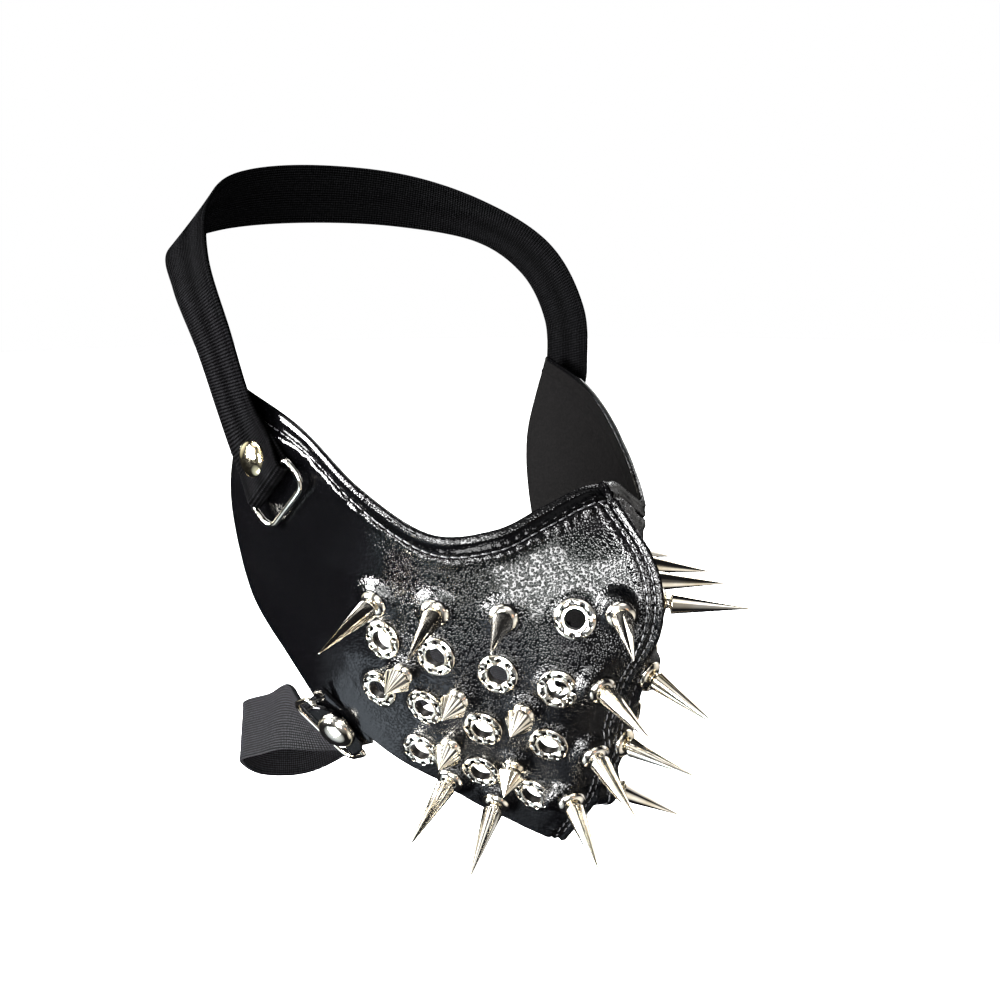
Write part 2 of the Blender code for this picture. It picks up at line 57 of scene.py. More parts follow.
# sizes that several pieces share
mask = {
    "halfWidth": 0.072,
    "faceDepth": 0.128,
    "faceHeight": 0.135,
    "leather": 0.0018,
    "gap": 0.0003,
    # centre seam from bridge to chin: back, up
    "seam": (
        (0.000, 0.000), (-0.187, -0.167), (-0.205, -0.333), (-0.094, -0.500),
        (-0.027, -0.667), (0.027, -0.833), (0.170, -1.000),
    ),
    # ribs of one half from the seam to the back edge: out, back, up
    "ribs": (
        (
            (0.12, 0.025, -0.010), (0.145, -0.090, -0.20), (0.155, -0.107, -0.39),
            (0.15, -0.035, -0.585), (0.14, 0.027, -0.78), (0.12, 0.195, -0.975),
        ),
        ((0.28, 0.07, -0.055), (0.30, -0.02, -0.32), (0.28, 0.03, -0.60), (0.205, 0.26, -0.945)),
        ((0.47, 0.13, -0.105), (0.46, 0.115, -0.34), (0.42, 0.16, -0.60), (0.335, 0.33, -0.895)),
        ((0.68, 0.25, -0.115), (0.64, 0.26, -0.33), (0.60, 0.30, -0.56), (0.485, 0.40, -0.82)),
        ((0.85, 0.42, -0.015), (0.78, 0.44, -0.26), (0.74, 0.465, -0.50), (0.62, 0.485, -0.76)),
        ((0.94, 0.62, 0.120), (0.91, 0.66, -0.14), (0.87, 0.65, -0.42), (0.78, 0.60, -0.660)),
        ((0.985, 0.86, 0.200), (0.985, 0.96, -0.08), (0.955, 0.90, -0.36), (0.84, 0.70, -0.615)),
    ),
}


def mix(low, high, share):
    return low + (high - low) * share


def ease(value):
    # 0 to 1 with soft ends, for numbers and arrays
    value = np.clip(value, 0.0, 1.0)
    return value * value * (3.0 - 2.0 * value)


def smoothPoint(points, place):
    # smooth curve through the points, place from 0 to the number of spans
    span = min(max(int(place), 0), len(points) - 2)
    share = place - span
    first, second = points[span], points[span + 1]
    before = points[span - 1] if span > 0 else first * 2 - second
    after = points[span + 2] if span + 2 < len(points) else second * 2 - first
    return (
        first * 2
        + (second - before) * share
        + (before * 2 - first * 5 + second * 4 - after) * share ** 2
        + (first * 3 - before - second * 3 + after) * share ** 3
    ) * 0.5


def facePoint(out, back, up):
    return Vector((out * mask["halfWidth"], back * mask["faceDepth"], up * mask["faceHeight"]))


ribPoints = [[facePoint(0.0, back, up) for back, up in mask["seam"]]]
ribPoints += [[facePoint(*place) for place in rib] for rib in mask["ribs"]]


def panelRow(down):
    return [smoothPoint(rib, down * (len(rib) - 1)) for rib in ribPoints]


def panelPoint(around, down):
    # outer face of the left half: around from seam to back edge, down from top to lower edge
    row = panelRow(down)
    return smoothPoint(row, around * (len(row) - 1))


def panelFrame(around, down, step=0.004):
    low, high = max(around - step, 0.0), min(around + step, 1.0)
    over, under = max(down - step, 0.0), min(down + step, 1.0)
    roundWay = (panelPoint(high, down) - panelPoint(low, down)).normalized()
    downWay = (panelPoint(around, under) - panelPoint(around, over)).normalized()
    normal = downWay.cross(roundWay).normalized()
    return panelPoint(around, down), normal, roundWay, downWay


def mirrored(point, side):
    return Vector((point[0] * side, point[1], point[2]))


def sideName(side):
    return "left" if side > 0 else "right"


# materials


def nodeMaterial(name, colour, roughness, metallic=0.0):
    material = bpy.data.materials.new(name)
    material.use_nodes = True
    shader = material.node_tree.nodes["Principled BSDF"]
    shader.inputs["Base Color"].default_value = (*colour, 1.0)
    shader.inputs["Roughness"].default_value = roughness
    shader.inputs["Metallic"].default_value = metallic
    return material, material.node_tree, shader


def addNode(tree, kind, **settings):
    # each setting is a value or a link of an input, or else a property of the node
    node = tree.nodes.new(kind)
    for key, value in settings.items():
        if key not in node.inputs:
            setattr(node, key, value)
        elif isinstance(value, bpy.types.NodeSocket):
            tree.links.new(value, node.inputs[key])
        else:
            node.inputs[key].default_value = value
    return node


def noiseNode(tree, where, scale, detail=3.0, roughness=0.5):
    size = {"Scale": scale, "Detail": detail, "Roughness": roughness}
    return addNode(tree, "ShaderNodeTexNoise", Vector=where, **size).outputs["Fac"]


def rampNode(tree, value, stops):
    node = addNode(tree, "ShaderNodeValToRGB", Fac=value)
    elements = node.color_ramp.elements
    while len(elements) < len(stops):
        elements.new(0.5)
    for element, (place, colour) in zip(elements, stops):
        element.position = place
        element.color = (*colour, 1.0)
    return node.outputs["Color"]


def rangeNode(tree, value, low, high, fromLow=0.0, fromHigh=1.0):
    limits = {"From Min": fromLow, "From Max": fromHigh, "To Min": low, "To Max": high}
    return addNode(tree, "ShaderNodeMapRange", Value=value, **limits).outputs["Result"]


def bumpNode(tree, height, strength, distance, below=None):
    under = {} if below is None else {"Normal": below}
    size = {"Strength": strength, "Distance": distance}
    return addNode(tree, "ShaderNodeBump", Height=height, **size, **under).outputs["Normal"]


def objectSpace(tree):
    return tree.nodes.new("ShaderNodeTexCoord").outputs["Object"]


def mathNode(tree, operation, first, second=None):
    node = addNode(tree, "ShaderNodeMath", operation=operation)
    for socket, value in zip(node.inputs, (first, second)):
        if isinstance(value, float):
            socket.default_value = value
        elif value is not None:
            tree.links.new(value, socket)
    return node.outputs[0]


def mixNode(tree, share, first, colour, blend="MIX"):
    node = addNode(tree, "ShaderNodeMix", data_type="RGBA", blend_type=blend, clamp_factor=False)
    tree.links.new(share, node.inputs[0])
    tree.links.new(first, node.inputs[6])
    node.inputs[7].default_value = (*colour, 1.0)
    return node.outputs[2]


def joinTo(tree, shader, sockets):
    for key, value in sockets.items():
        tree.links.new(value, shader.inputs[key])


leatherLook = {
    "colour": (0.00020, 0.00020, 0.00024),
    "grainColour": (0.00030, 0.00030, 0.00036),
    "roughness": (0.07, 0.10),
    "patches": 38.0,                # glossy and dull patches
    "pebbles": 1400.0,              # grain cells per metre
    "pebbleEdge": (0.14, 0.60),     # from the flat top to the groove, in cells
    "pebbleDepth": 0.00014, "pebbleSoftness": 0.35,
    "pebbleBump": (0.9, 0.2),       # on the face, and on the smoother back edge
    "backFade": (0.044, 0.070),     # metres back from the bridge
    "warp": 0.0006,
    "creases": 260.0, "creaseDepth": 0.00025, "creaseBump": 0.05,
    "pores": 2600.0, "poreDepth": 0.00003, "poreBump": 0.05,
}


def makeLeather(name, look, grain=1.0, shine=0.16):
    material, tree, shader = nodeMaterial(name, look["colour"], 0.3)
    where = objectSpace(tree)
    warp = addNode(tree, "ShaderNodeTexNoise", Vector=where, Scale=look["creases"], Detail=2.0)
    shifted = addNode(tree, "ShaderNodeVectorMath", operation="MULTIPLY_ADD")
    tree.links.new(warp.outputs["Color"], shifted.inputs[0])
    shifted.inputs[1].default_value = (look["warp"],) * 3
    tree.links.new(where, shifted.inputs[2])
    cells = addNode(
        tree, "ShaderNodeTexVoronoi", feature="SMOOTH_F1", Scale=look["pebbles"],
        Smoothness=look["pebbleSoftness"], Vector=shifted.outputs["Vector"],
    )
    pebble = rangeNode(tree, cells.outputs["Distance"], 1.0, 0.0, *look["pebbleEdge"])
    patches = noiseNode(tree, where, look["patches"], 2.0)
    pores = noiseNode(tree, where, look["pores"], 2.0)
    crease = noiseNode(tree, where, look["creases"], 5.0, 0.6)
    face, back = (grain * bump for bump in look["pebbleBump"])
    first = bumpNode(tree, crease, look["creaseBump"] * grain, look["creaseDepth"])
    second = bumpNode(tree, pebble, face, look["pebbleDepth"], first)
    parts = addNode(tree, "ShaderNodeSeparateXYZ", Vector=where)
    fade = rangeNode(tree, parts.outputs["Y"], face, back, *look["backFade"])
    tree.links.new(fade, second.node.inputs["Strength"])
    joinTo(tree, shader, {
        "Normal": bumpNode(tree, pores, look["poreBump"], look["poreDepth"], second),
        "Base Color": rampNode(tree, pebble, ((0.1, look["grainColour"]), (0.7, look["colour"]))),
        "Roughness": rangeNode(tree, patches, *look["roughness"], 0.3, 0.7),
    })
    shader.inputs["Specular IOR Level"].default_value = shine
    return material


metalGrain = {"patches": 90.0, "scratches": (1400.0, 3.0, 0.6), "bump": (0.12, 0.00004)}
nickelLook = {
    "colour": (0.88, 0.845, 0.765), "tarnish": (0.68, 0.61, 0.48), "roughness": (0.045, 0.14),
}
brassLook = {
    "colour": (0.84, 0.76, 0.54), "tarnish": (0.60, 0.50, 0.26), "roughness": (0.05, 0.13),
}
# darkened metal for the eyelet barrels, vent floors and clamp rings: painted shade in these
# recesses, with darker random patches
paintedShadeBoreLook = {
    "colour": (0.050, 0.046, 0.042), "tarnish": (0.020, 0.017, 0.015), "roughness": (0.35, 0.50),
}


def makeMetal(name, look):
    material, tree, shader = nodeMaterial(name, look["colour"], 0.08, 1.0)
    where = objectSpace(tree)
    patches = noiseNode(tree, where, metalGrain["patches"])
    fine = noiseNode(tree, where, *metalGrain["scratches"])
    joinTo(tree, shader, {
        "Base Color": rampNode(tree, patches, ((0.35, look["tarnish"]), (0.6, look["colour"]))),
        "Roughness": rangeNode(tree, fine, *look["roughness"], 0.35, 0.7),
        "Normal": bumpNode(tree, fine, *metalGrain["bump"]),
    })
    return material


elasticLook = {
    "colour": (0.0001, 0.0001, 0.0001),
    "worn": (0.0024, 0.0024, 0.0026),
    "threads": 1500.0,
    "weave": (("X", 0.0011), ("Y", 0.0010)),    # pitch along and across the band
    "weaveBump": (0.35, 0.00016), "fuzzBump": (0.3, 0.0001),
}


def makeElastic(name, look, lift=1.0):
    # the weave follows the band: u runs along it in metres, v across it
    material, tree, shader = nodeMaterial(name, look["colour"], 0.72)
    along = addNode(tree, "ShaderNodeUVMap", uv_map="band")
    parts = addNode(tree, "ShaderNodeSeparateXYZ", Vector=along.outputs["UV"])
    waves = []
    for axis, pitch in look["weave"]:
        angle = mathNode(tree, "MULTIPLY", parts.outputs[axis], math.tau / pitch)
        waves.append(mathNode(tree, "SINE", angle))
    height = rangeNode(tree, mathNode(tree, "ADD", *waves), 0.0, 1.0, -1.2, 1.8)
    fuzz = noiseNode(tree, objectSpace(tree), look["threads"], 4.0, 0.6)
    first = bumpNode(tree, height, *look["weaveBump"])
    # lift scales both colours; the lower strap uses it to paint in its grey sheen
    base, worn = (tuple(part * lift for part in look[key]) for key in ("colour", "worn"))
    shade = mathNode(tree, "MULTIPLY", height, fuzz)
    joinTo(tree, shader, {
        "Normal": bumpNode(tree, fuzz, *look["fuzzBump"], first),
        "Base Color": rampNode(tree, shade, ((0.15, base), (0.55, worn))),
    })
    shader.inputs["Specular IOR Level"].default_value = 0.0
    return material


# flesh side of the leather
suedeLook = {
    "colour": (0.003, 0.003, 0.003), "roughness": 0.85, "shine": 0.008,
    "fibres": (900.0, 6.0, 0.7), "bump": (0.6, 0.0002),
    "stops": ((0.3, (0.0004, 0.0004, 0.0004)), (0.75, (0.0014, 0.0013, 0.0013))),
}
threadLook = {
    "colour": (0.02, 0.02, 0.021), "roughness": 0.34, "shine": 0.5,
    "fibres": (2200.0, 3.0, 0.5), "bump": (0.5, 0.0001),
    "stops": ((0.3, (0.008, 0.008, 0.009)), (0.7, (0.034, 0.034, 0.036))),
}


def makeFibrous(name, look):
    material, tree, shader = nodeMaterial(name, look["colour"], look["roughness"])
    fibre = noiseNode(tree, objectSpace(tree), *look["fibres"])
    joinTo(tree, shader, {
        "Normal": bumpNode(tree, fibre, *look["bump"]),
        "Base Color": rampNode(tree, fibre, look["stops"]),
    })
    shader.inputs["Specular IOR Level"].default_value = look["shine"]
    return material


leather = makeLeather("black pebbled leather", leatherLook)
tabLeather = makeLeather("tab leather", leatherLook, 0.6)
# the hem band takes a duller copy of the leather: its low shine paints in the shade of the folded
# edge
paintedShadeHemLeather = makeLeather("hem band leather dulled as painted shade", leatherLook, 0.35, 0.05)
suede = makeFibrous("leather flesh side", suedeLook)
nickel = makeMetal("polished nickel", nickelLook)
brass = makeMetal("warm plated rivet", brassLook)
# the eyelets' insides take a darkened copy of the metal as painted shade
bore = makeMetal("eyelet inside darkened as painted shade", paintedShadeBoreLook)
elastic = makeElastic("ribbed elastic", elasticLook)
# the lower strap's elastic is lightened 4.4 times: painted sheen in place of a reflection
paintedSheenElastic = makeElastic("flat elastic lightened as painted sheen", elasticLook, 4.4)
thread = makeFibrous("waxed thread", threadLook)
print("materials made")


# helpers that make pieces


def addPiece(name, mesh, material, slot, *nodes):
    thing = bpy.data.objects.new(name, mesh)
    bpy.context.scene.collection.objects.link(thing)
    if material is not None:
        mesh.materials.append(material)
    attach(thing, "root")
    if nodes:
        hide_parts(*nodes)
    return thing


def smoothMesh(mesh, sharpDegrees=None):
    for face in mesh.polygons:
        face.use_smooth = True
    if sharpDegrees is not None:
        mesh.set_sharp_from_angle(angle=math.radians(sharpDegrees))


def meshFrom(name, verts, faces, sharpDegrees=None):
    mesh = bpy.data.meshes.new(name)
    mesh.from_pydata([tuple(vert) for vert in verts], [], faces)
    smoothMesh(mesh, sharpDegrees)
    return mesh


def faceOutwards(mesh, joinWithin=0.0):
    form = bmesh.new()
    form.from_mesh(mesh)
    if joinWithin:
        loose = [vert for vert in form.verts if not vert.link_faces]
        bmesh.ops.delete(form, geom=loose, context="VERTS")
        bmesh.ops.remove_doubles(form, verts=form.verts, dist=joinWithin)
    bmesh.ops.recalc_face_normals(form, faces=form.faces)
    form.to_mesh(mesh)
    form.free()


def turnedMesh(profile, sides, flutes=0, fluteDepth=0.0):
    # profile of (radius, height, flute share) turned about Z, from the tip down
    verts, faces, rings = [], [], []
    for row in profile:
        radius, height = row[0], row[1]
        share = row[2] if len(row) > 2 else 0.0
        if radius < 1e-7:
            rings.append([len(verts)] * sides)
            verts.append((0.0, 0.0, height))
            continue
        rings.append(list(range(len(verts), len(verts) + sides)))
        for step in range(sides):
            angle = math.tau * step / sides
            pull = 1.0
            if flutes:
                wave = abs(math.sin(flutes * angle / 2.0))
                pull = 1.0 - fluteDepth * share * (1.0 - wave)
            verts.append((radius * pull * math.cos(angle), radius * pull * math.sin(angle), height))
    for upper, lower in zip(rings, rings[1:]):
        for step in range(sides):
            after = (step + 1) % sides
            corners = [upper[step], lower[step], lower[after], upper[after]]
            corners = [c for k, c in enumerate(corners) if c not in corners[:k]]
            if len(corners) > 2:
                faces.append(corners)
    return verts, faces


def standing(place, axis, side=1):
    # stands a form up at a place of the left half, or at its mirror image
    turn = Vector((0.0, 0.0, 1.0)).rotation_difference(mirrored(axis, side))
    return Matrix.Translation(mirrored(place, side)) @ turn.to_matrix().to_4x4()


def placed(verts, matrix):
    return [matrix @ Vector(vert) for vert in verts]


def joinForm(verts, faces, more, moreFaces):
    base = len(verts)
    verts += more
    faces += [tuple(base + corner for corner in face) for face in moreFaces]


# places of the hardware on the leather

eyelet = {
    "radius": 0.0070, "hole": 0.0036, "dome": 0.0014, "stand": 0.0006,
    "vents": 9, "ventRadius": 0.00085, "ventRing": 0.00545, "ventDepth": 0.0009,
    "edge": 0.00045, "mouth": 0.00075,
    # around, down
    "places": (
        (0.245, 0.315), (0.290, 0.540), (0.280, 0.720), (0.260, 0.880),
        (0.435, 0.495), (0.460, 0.705), (0.440, 0.865),
        (0.570, 0.480), (0.595, 0.705), (0.615, 0.900),
        (0.690, 0.520), (0.710, 0.730),
    ),
}
spike = {
    "length": 0.0300, "radius": 0.0037, "washer": 0.0052, "sides": 48,
    # around, down, right side back and down, left side back and down, in degrees
    "places": (
        (0.110, 0.290, -14, 14, -8, 6),
        (0.140, 0.500, -20, -6, -16, 2),
        (0.095, 0.695, 4, 14, 2, -3),
        (0.130, 0.850, -18, -8, 16, 8),
        (0.420, 0.295, -8, 3, 6, 4),
        (0.570, 0.300, -8, 5, 0, 4),
        (0.705, 0.390, 0, 12, 10, 14),
        (0.365, 0.950, -1, 11, -1, 11),
        (0.520, 0.955, 8, 8, 8, 8),
    ),
}
stud = {
    "length": 0.0125, "radius": 0.0051, "washer": 0.0041, "sides": 64,
    "places": (
        (0.370, 0.625, 0, 7), (0.355, 0.810, -3, 12), (0.520, 0.620, 7, 4),
        (0.530, 0.825, -1, -6), (0.645, 0.610, -4, 6),
    ),
}
foot = {"washerHeight": 0.0022, "neckHeight": 0.0014, "neckShare": 0.5}


def seatLift(rowPlace, axis, radius, samples=5, step=0.013):
    # height of a washer over its place, so that it clears the highest leather under it
    around, down = rowPlace
    centre = panelPoint(around, down)
    highest = 0.0
    for across in range(-samples, samples + 1):
        for under in range(-samples, samples + 1):
            place = panelPoint(
                min(max(around + across * step, 0.0), 1.0),
                min(max(down + under * step, 0.0), 1.0),
            )
            height = (place - centre).dot(axis)
            if (place - centre - axis * height).length <= radius:
                highest = max(highest, height)
    return highest + mask["gap"]


def listHardware():
    # (kind, number, side, seat, axis, radius), seats on the left half mirrored by side
    found = []
    for number, rowPlace in enumerate(eyelet["places"], 1):
        place, normal, _, _ = panelFrame(*rowPlace)
        lift = seatLift(rowPlace, normal, eyelet["radius"])
        for side in (1, -1):
            found.append(("eyelet", number, side, place + normal * lift, normal, eyelet["radius"]))
    for kind, sizes in (("spike", spike), ("stud", stud)):
        for number, row in enumerate(sizes["places"], 1):
            place, normal, roundWay, downWay = panelFrame(row[0], row[1])
            for side in (1, -1):
                leans = row[4:6] if side > 0 and len(row) > 4 else row[2:4]
                back, low = (math.radians(lean) for lean in leans)
                axis = (normal + roundWay * math.tan(back) + downWay * math.tan(low)).normalized()
                lift = seatLift(row[:2], axis, sizes["washer"])
                found.append((kind, number, side, place + axis * lift, axis, sizes["washer"]))
    return found


hardware = listHardware()
print("hardware placed:", len(hardware))


# the leather shell

shell = {
    "columns": 150,         # cells from the seam to the back edge
    "rows": 150,            # cells from the top edge to the lower edge
    "rowGather": 0.55,      # how much closer the rows lie at both edges
    "arcSteps": 4,          # steps round the cut edges
    "hemWidth": 0.0058, "hemRise": 0.00055, "hemStep": 0.0012,
    # hemFlat marks the band that takes the dulled hem leather as painted shade
    "hemFlat": (0.0011, 0.0007),      # smooth band: in from the edge, and from the stitches
    "stitchPitch": 0.0034, "pucker": 0.00085, "seamPucker": 0.7,
    "lip": 0.00026, "lipAt": 0.0010, "lipWidth": 0.0005,
    "seamRise": 0.0010, "seamWidth": 0.0011,
    "seamStitch": (0.0021, 0.0047),   # stitch rows beside the seam
    "wave": 0.00045,        # slow unevenness of worn leather
}
# a sewn line: groove, and the puffs before and after it as height share, distance and width
puff = {
    "drift": 0.0011, "groove": 0.0006, "near": (0.35, -0.0014, 0.0009),
    "far": (1.0, 0.0020, 0.0015), "unevenness": 0.9, "rise": 1.15,
}
# where the leather meets a washer or flange
contact = {
    "under": 0.00005, "share": 0.92, "eyelet": 0.0032, "cone": 0.0040,
    "around": 0.006, "depth": 0.012, "dip": 0.00022, "dipAt": 0.0009, "dipWidth": 0.0008,
    "bore": 0.0044, "boreDepth": 0.008,
}


def panelArrays():
    columns, rows = shell["columns"], shell["rows"]
    points = np.zeros((columns + 1, rows + 1, 3))
    for row in range(rows + 1):
        share = row / rows
        ribs = panelRow(share - shell["rowGather"] * math.sin(math.tau * share) / math.tau)
        for column in range(columns + 1):
            points[column, row] = smoothPoint(ribs, column / columns * (len(ribs) - 1))
    roundWay = np.gradient(points, axis=0)
    downWay = np.gradient(points, axis=1)
    normals = np.cross(downWay, roundWay)
    normals[0, :, 0] = 0.0
    normals /= np.linalg.norm(normals, axis=2, keepdims=True)
    return points, normals, downWay / np.linalg.norm(downWay, axis=2, keepdims=True), roundWay


def alongLength(points):
    steps = np.linalg.norm(np.diff(points, axis=0), axis=1)
    return np.concatenate([[0.0], np.cumsum(steps)])


def noiseGrid(points, scale, seed):
    found = np.zeros(points.shape[:2])
    shift = Vector((seed, seed * 0.7, -seed))
    for i in range(points.shape[0]):
        for j in range(points.shape[1]):
            found[i, j] = noise.noise(Vector(points[i, j]) * scale + shift)
    return found


def hump(distance, middle, width):
    return np.exp(-((distance - middle) / width) ** 2)


def puckers(along, away, line, depth, rough):
    # a sewn line: a groove, and past it the leather puffed up between the stitches
    across = away - line
    along = along + puff["drift"] * rough
    gather = 0.5 + 0.5 * np.cos(math.tau * along / shell["stitchPitch"])
    groove = -depth * hump(across, 0.0, puff["groove"])
    share, *place = puff["near"]
    near = share * hump(across, *place) * (1.0 - gather)
    share, *place = puff["far"]
    far = share * hump(across, *place) * (1.0 - 0.55 * gather)
    puffed = (near + far) * (1.0 + puff["unevenness"] * rough)
    return groove * (0.55 + 0.45 * gather) + depth * puff["rise"] * puffed


def distanceAside(points, seat, axis):
    # depth along the axis and distance from it
    offset = points - np.array(seat)
    line = np.array(axis)
    depth = offset @ line
    return depth, np.linalg.norm(offset - depth[..., None] * line, axis=2)


def shellHeights(points, normals, side):
    columns, rows = shell["columns"], shell["rows"]
    toTop = np.linalg.norm(points - points[:, :1], axis=2)
    toSeam = np.linalg.norm(points - points[:1], axis=2)
    alongTop = np.repeat(alongLength(points[:, 0])[:, None], rows + 1, axis=1)
    alongSeam = np.repeat(alongLength(points[0])[None, :], columns + 1, axis=0)
    height = np.zeros((columns + 1, rows + 1))
    height += shell["wave"] * noiseGrid(points, 42.0, 3.0 * side) * 1.4
    height += shell["wave"] * 0.35 * noiseGrid(points, 120.0, 7.0 * side)
    # folded top edge with its sewn line
    height += shell["hemRise"] * ease((shell["hemWidth"] - toTop) / shell["hemStep"])
    rough = noiseGrid(points, 210.0, 11.0 * side) + 0.6 * noiseGrid(points, 520.0, 5.0 * side)
    height += puckers(alongTop, toTop, shell["hemWidth"], shell["pucker"], rough)
    height += shell["lip"] * hump(toTop, shell["lipAt"], shell["lipWidth"])
    # centre seam: raised ridge and sewn lines beside it
    height += shell["seamRise"] * hump(toSeam, 0.0, shell["seamWidth"])
    fade = ease((toTop - 0.002) / 0.004)
    for line in shell["seamStitch"]:
        depth = shell["pucker"] * shell["seamPucker"]
        height += fade * puckers(alongSeam, toSeam, line, depth, rough)
    # the leather meets each washer and flange
    for kind, _, where, seat, axis, radius in hardware:
        if where != side:
            continue
        depth, aside = distanceAside(points, seat, axis)
        near = (aside < radius + contact["around"]) & (np.abs(depth) < contact["depth"])
        slope = np.maximum(normals @ np.array(axis), 0.4)
        target = (-contact["under"] - depth) / slope
        reach = contact["eyelet" if kind == "eyelet" else "cone"]
        pull = np.where(near, 1.0 - ease((aside - radius * contact["share"]) / reach), 0.0)
        height = height * (1.0 - pull) + target * pull
        dip = hump(aside, radius + contact["dipAt"], contact["dipWidth"])
        height -= np.where(near, contact["dip"] * dip, 0.0)
    return height


def wallLoops(outer, inner, downWay, roundWay):
    # closed section of each column: outer face, rounded lower edge, inner face, rounded top edge,
    # and the rounded back edge past the last column
    columns, rows, arc = shell["columns"], shell["rows"], shell["arcSteps"]
    middle = (outer + inner) / 2.0
    ring, centre = [outer[:, j] for j in range(rows + 1)], [middle[:, j] for j in range(rows + 1)]
    for edge, way in ((rows, downWay[:, rows]), (0, -downWay[:, 0])):
        start = outer if edge == rows else inner
        half = np.linalg.norm(start[:, edge] - middle[:, edge], axis=1)[:, None]
        if edge == 0:
            ring += [inner[:, j] for j in range(rows, -1, -1)]
            centre += [middle[:, j] for j in range(rows, -1, -1)]
        for step in range(1, arc):
            angle = math.pi * step / arc
            spoke = (start[:, edge] - middle[:, edge]) * math.cos(angle)
            ring.append(middle[:, edge] + spoke + way * half * math.sin(angle))
            centre.append(middle[:, edge])
    ring, centre = np.stack(ring, axis=1), np.stack(centre, axis=1)
    away = roundWay[columns] / np.linalg.norm(roundWay[columns], axis=1)[:, None]
    lower, top = [rows] * (arc - 1), [0] * (arc - 1)
    away = away[list(range(rows + 1)) + lower + list(range(rows, -1, -1)) + top]
    extra = []
    for step in range(1, arc // 2 + 1):
        angle = math.pi / 2 * step / (arc // 2)
        spoke = (ring[columns] - centre[columns]) * math.cos(angle)
        extra.append(centre[columns] + spoke + away * (mask["leather"] / 2) * math.sin(angle))
    return np.concatenate([ring, np.stack(extra)], axis=0)


def buildShell():
    points, normals, downWay, roundWay = panelArrays()
    columns, rows, arc = shell["columns"], shell["rows"], shell["arcSteps"]
    halves, loops = {}, {}
    for side in (1, -1):
        height = shellHeights(points, normals, side)
        if side < 0:
            height[0] = halves[1][0]
        halves[side] = height
        outer = points + normals * height[..., None]
        inner = points - normals * (mask["leather"] - 0.25 * height[..., None])
        loops[side] = wallLoops(outer, inner, downWay, roundWay)
        loops[side][..., 0] *= side
    whole = np.concatenate([loops[-1][:0:-1], loops[1]], axis=0)
    count, size = whole.shape[:2]
    # no faces in each eyelet's hole
    hollow = np.zeros((count, size), dtype=bool)
    for kind, _, side, seat, axis, _ in hardware:
        if kind == "eyelet":
            depth, aside = distanceAside(whole, mirrored(seat, side), mirrored(axis, side))
            hollow |= (aside < contact["bore"]) & (np.abs(depth) < contact["boreDepth"])
    toTop = np.linalg.norm(points - points[:, :1], axis=2)
    outside, inside = shell["hemFlat"]
    # faces in this band get the dulled hem leather as painted shade
    paintedShadeHemBand = (toTop > outside) & (toTop < shell["hemWidth"] - inside)
    faces, kinds = [], []
    for i in range(count - 1):
        for j in range(size):
            after = (j + 1) % size
            if hollow[i, j] or hollow[i + 1, j] or hollow[i, after] or hollow[i + 1, after]:
                continue
            low, high = i * size, (i + 1) * size
            faces.append((low + j, low + after, high + after, high + j))
            within = rows + arc - 1 <= j < 2 * rows + arc - 1
            folded = j <= rows and paintedShadeHemBand[min(abs(i - count // 2), columns), j]
            kinds.append(1 if within else 2 if folded else 0)
    mesh = bpy.data.meshes.new("leather_face")
    mesh.from_pydata(whole.reshape(-1, 3).tolist(), [], faces)
    for material in (leather, suede, paintedShadeHemLeather):
        mesh.materials.append(material)
    for face, kind in zip(mesh.polygons, kinds):
        face.use_smooth = True
        face.material_index = kind
    faceOutwards(mesh, 0.00001)
    piece = addPiece("leather_face", mesh, None, "leather", "mask_shell")
    return piece, points, normals, halves


leatherFace, panelPoints, panelNormals, panelHeights = buildShell()
print("leather face:", len(leatherFace.data.polygons), "faces")


# stitches

stitch = {
    "length": 0.0026, "radius": 0.00028, "arch": 0.00022, "lift": 0.00005, "steps": 6, "sides": 6,
}


def threadMesh(verts, faces, start, end, up):
    # one stitch: a short arched capsule from hole to hole
    along = end - start
    side = along.cross(up).normalized()
    rise = side.cross(along).normalized()
    steps, sides = stitch["steps"], stitch["sides"]
    base = len(verts)
    for step in range(steps + 1):
        share = step / steps
        middle = start.lerp(end, share) + rise * (stitch["arch"] * math.sin(math.pi * share) ** 0.6)
        radius = stitch["radius"] * (0.35 + 0.65 * math.sin(math.pi * share) ** 0.5)
        for spoke in range(sides):
            angle = math.tau * spoke / sides
            verts.append(middle + side * radius * math.cos(angle) + rise * radius * math.sin(angle))
    for step in range(steps):
        for spoke in range(sides):
            after = (spoke + 1) % sides
            low, high = base + step * sides, base + (step + 1) * sides
            faces.append((low + spoke, low + after, high + after, high + spoke))
    faces.append(tuple(base + spoke for spoke in reversed(range(sides))))
    faces.append(tuple(base + steps * sides + spoke for spoke in range(sides)))


def surfaceAt(column, row, side):
    # leather height and normal at a place of the grid, between its nodes
    columns, rows = shell["columns"], shell["rows"]
    i, j = min(int(column), columns - 1), min(int(row), rows - 1)
    u, v = column - i, row - j
    place, normal = np.zeros(3), np.zeros(3)
    for di, wi in ((0, 1 - u), (1, u)):
        for dj, wj in ((0, 1 - v), (1, v)):
            at = (i + di, j + dj)
            weight = wi * wj
            place += weight * (panelPoints[at] + panelNormals[at] * panelHeights[side][at])
            normal += weight * panelNormals[at]
    return mirrored(place, side), mirrored(normal, side).normalized()


def indexAt(distance, length):
    # place along a line of grid points at which the length from its start is reached
    return float(np.interp(distance, length, np.arange(len(length))))


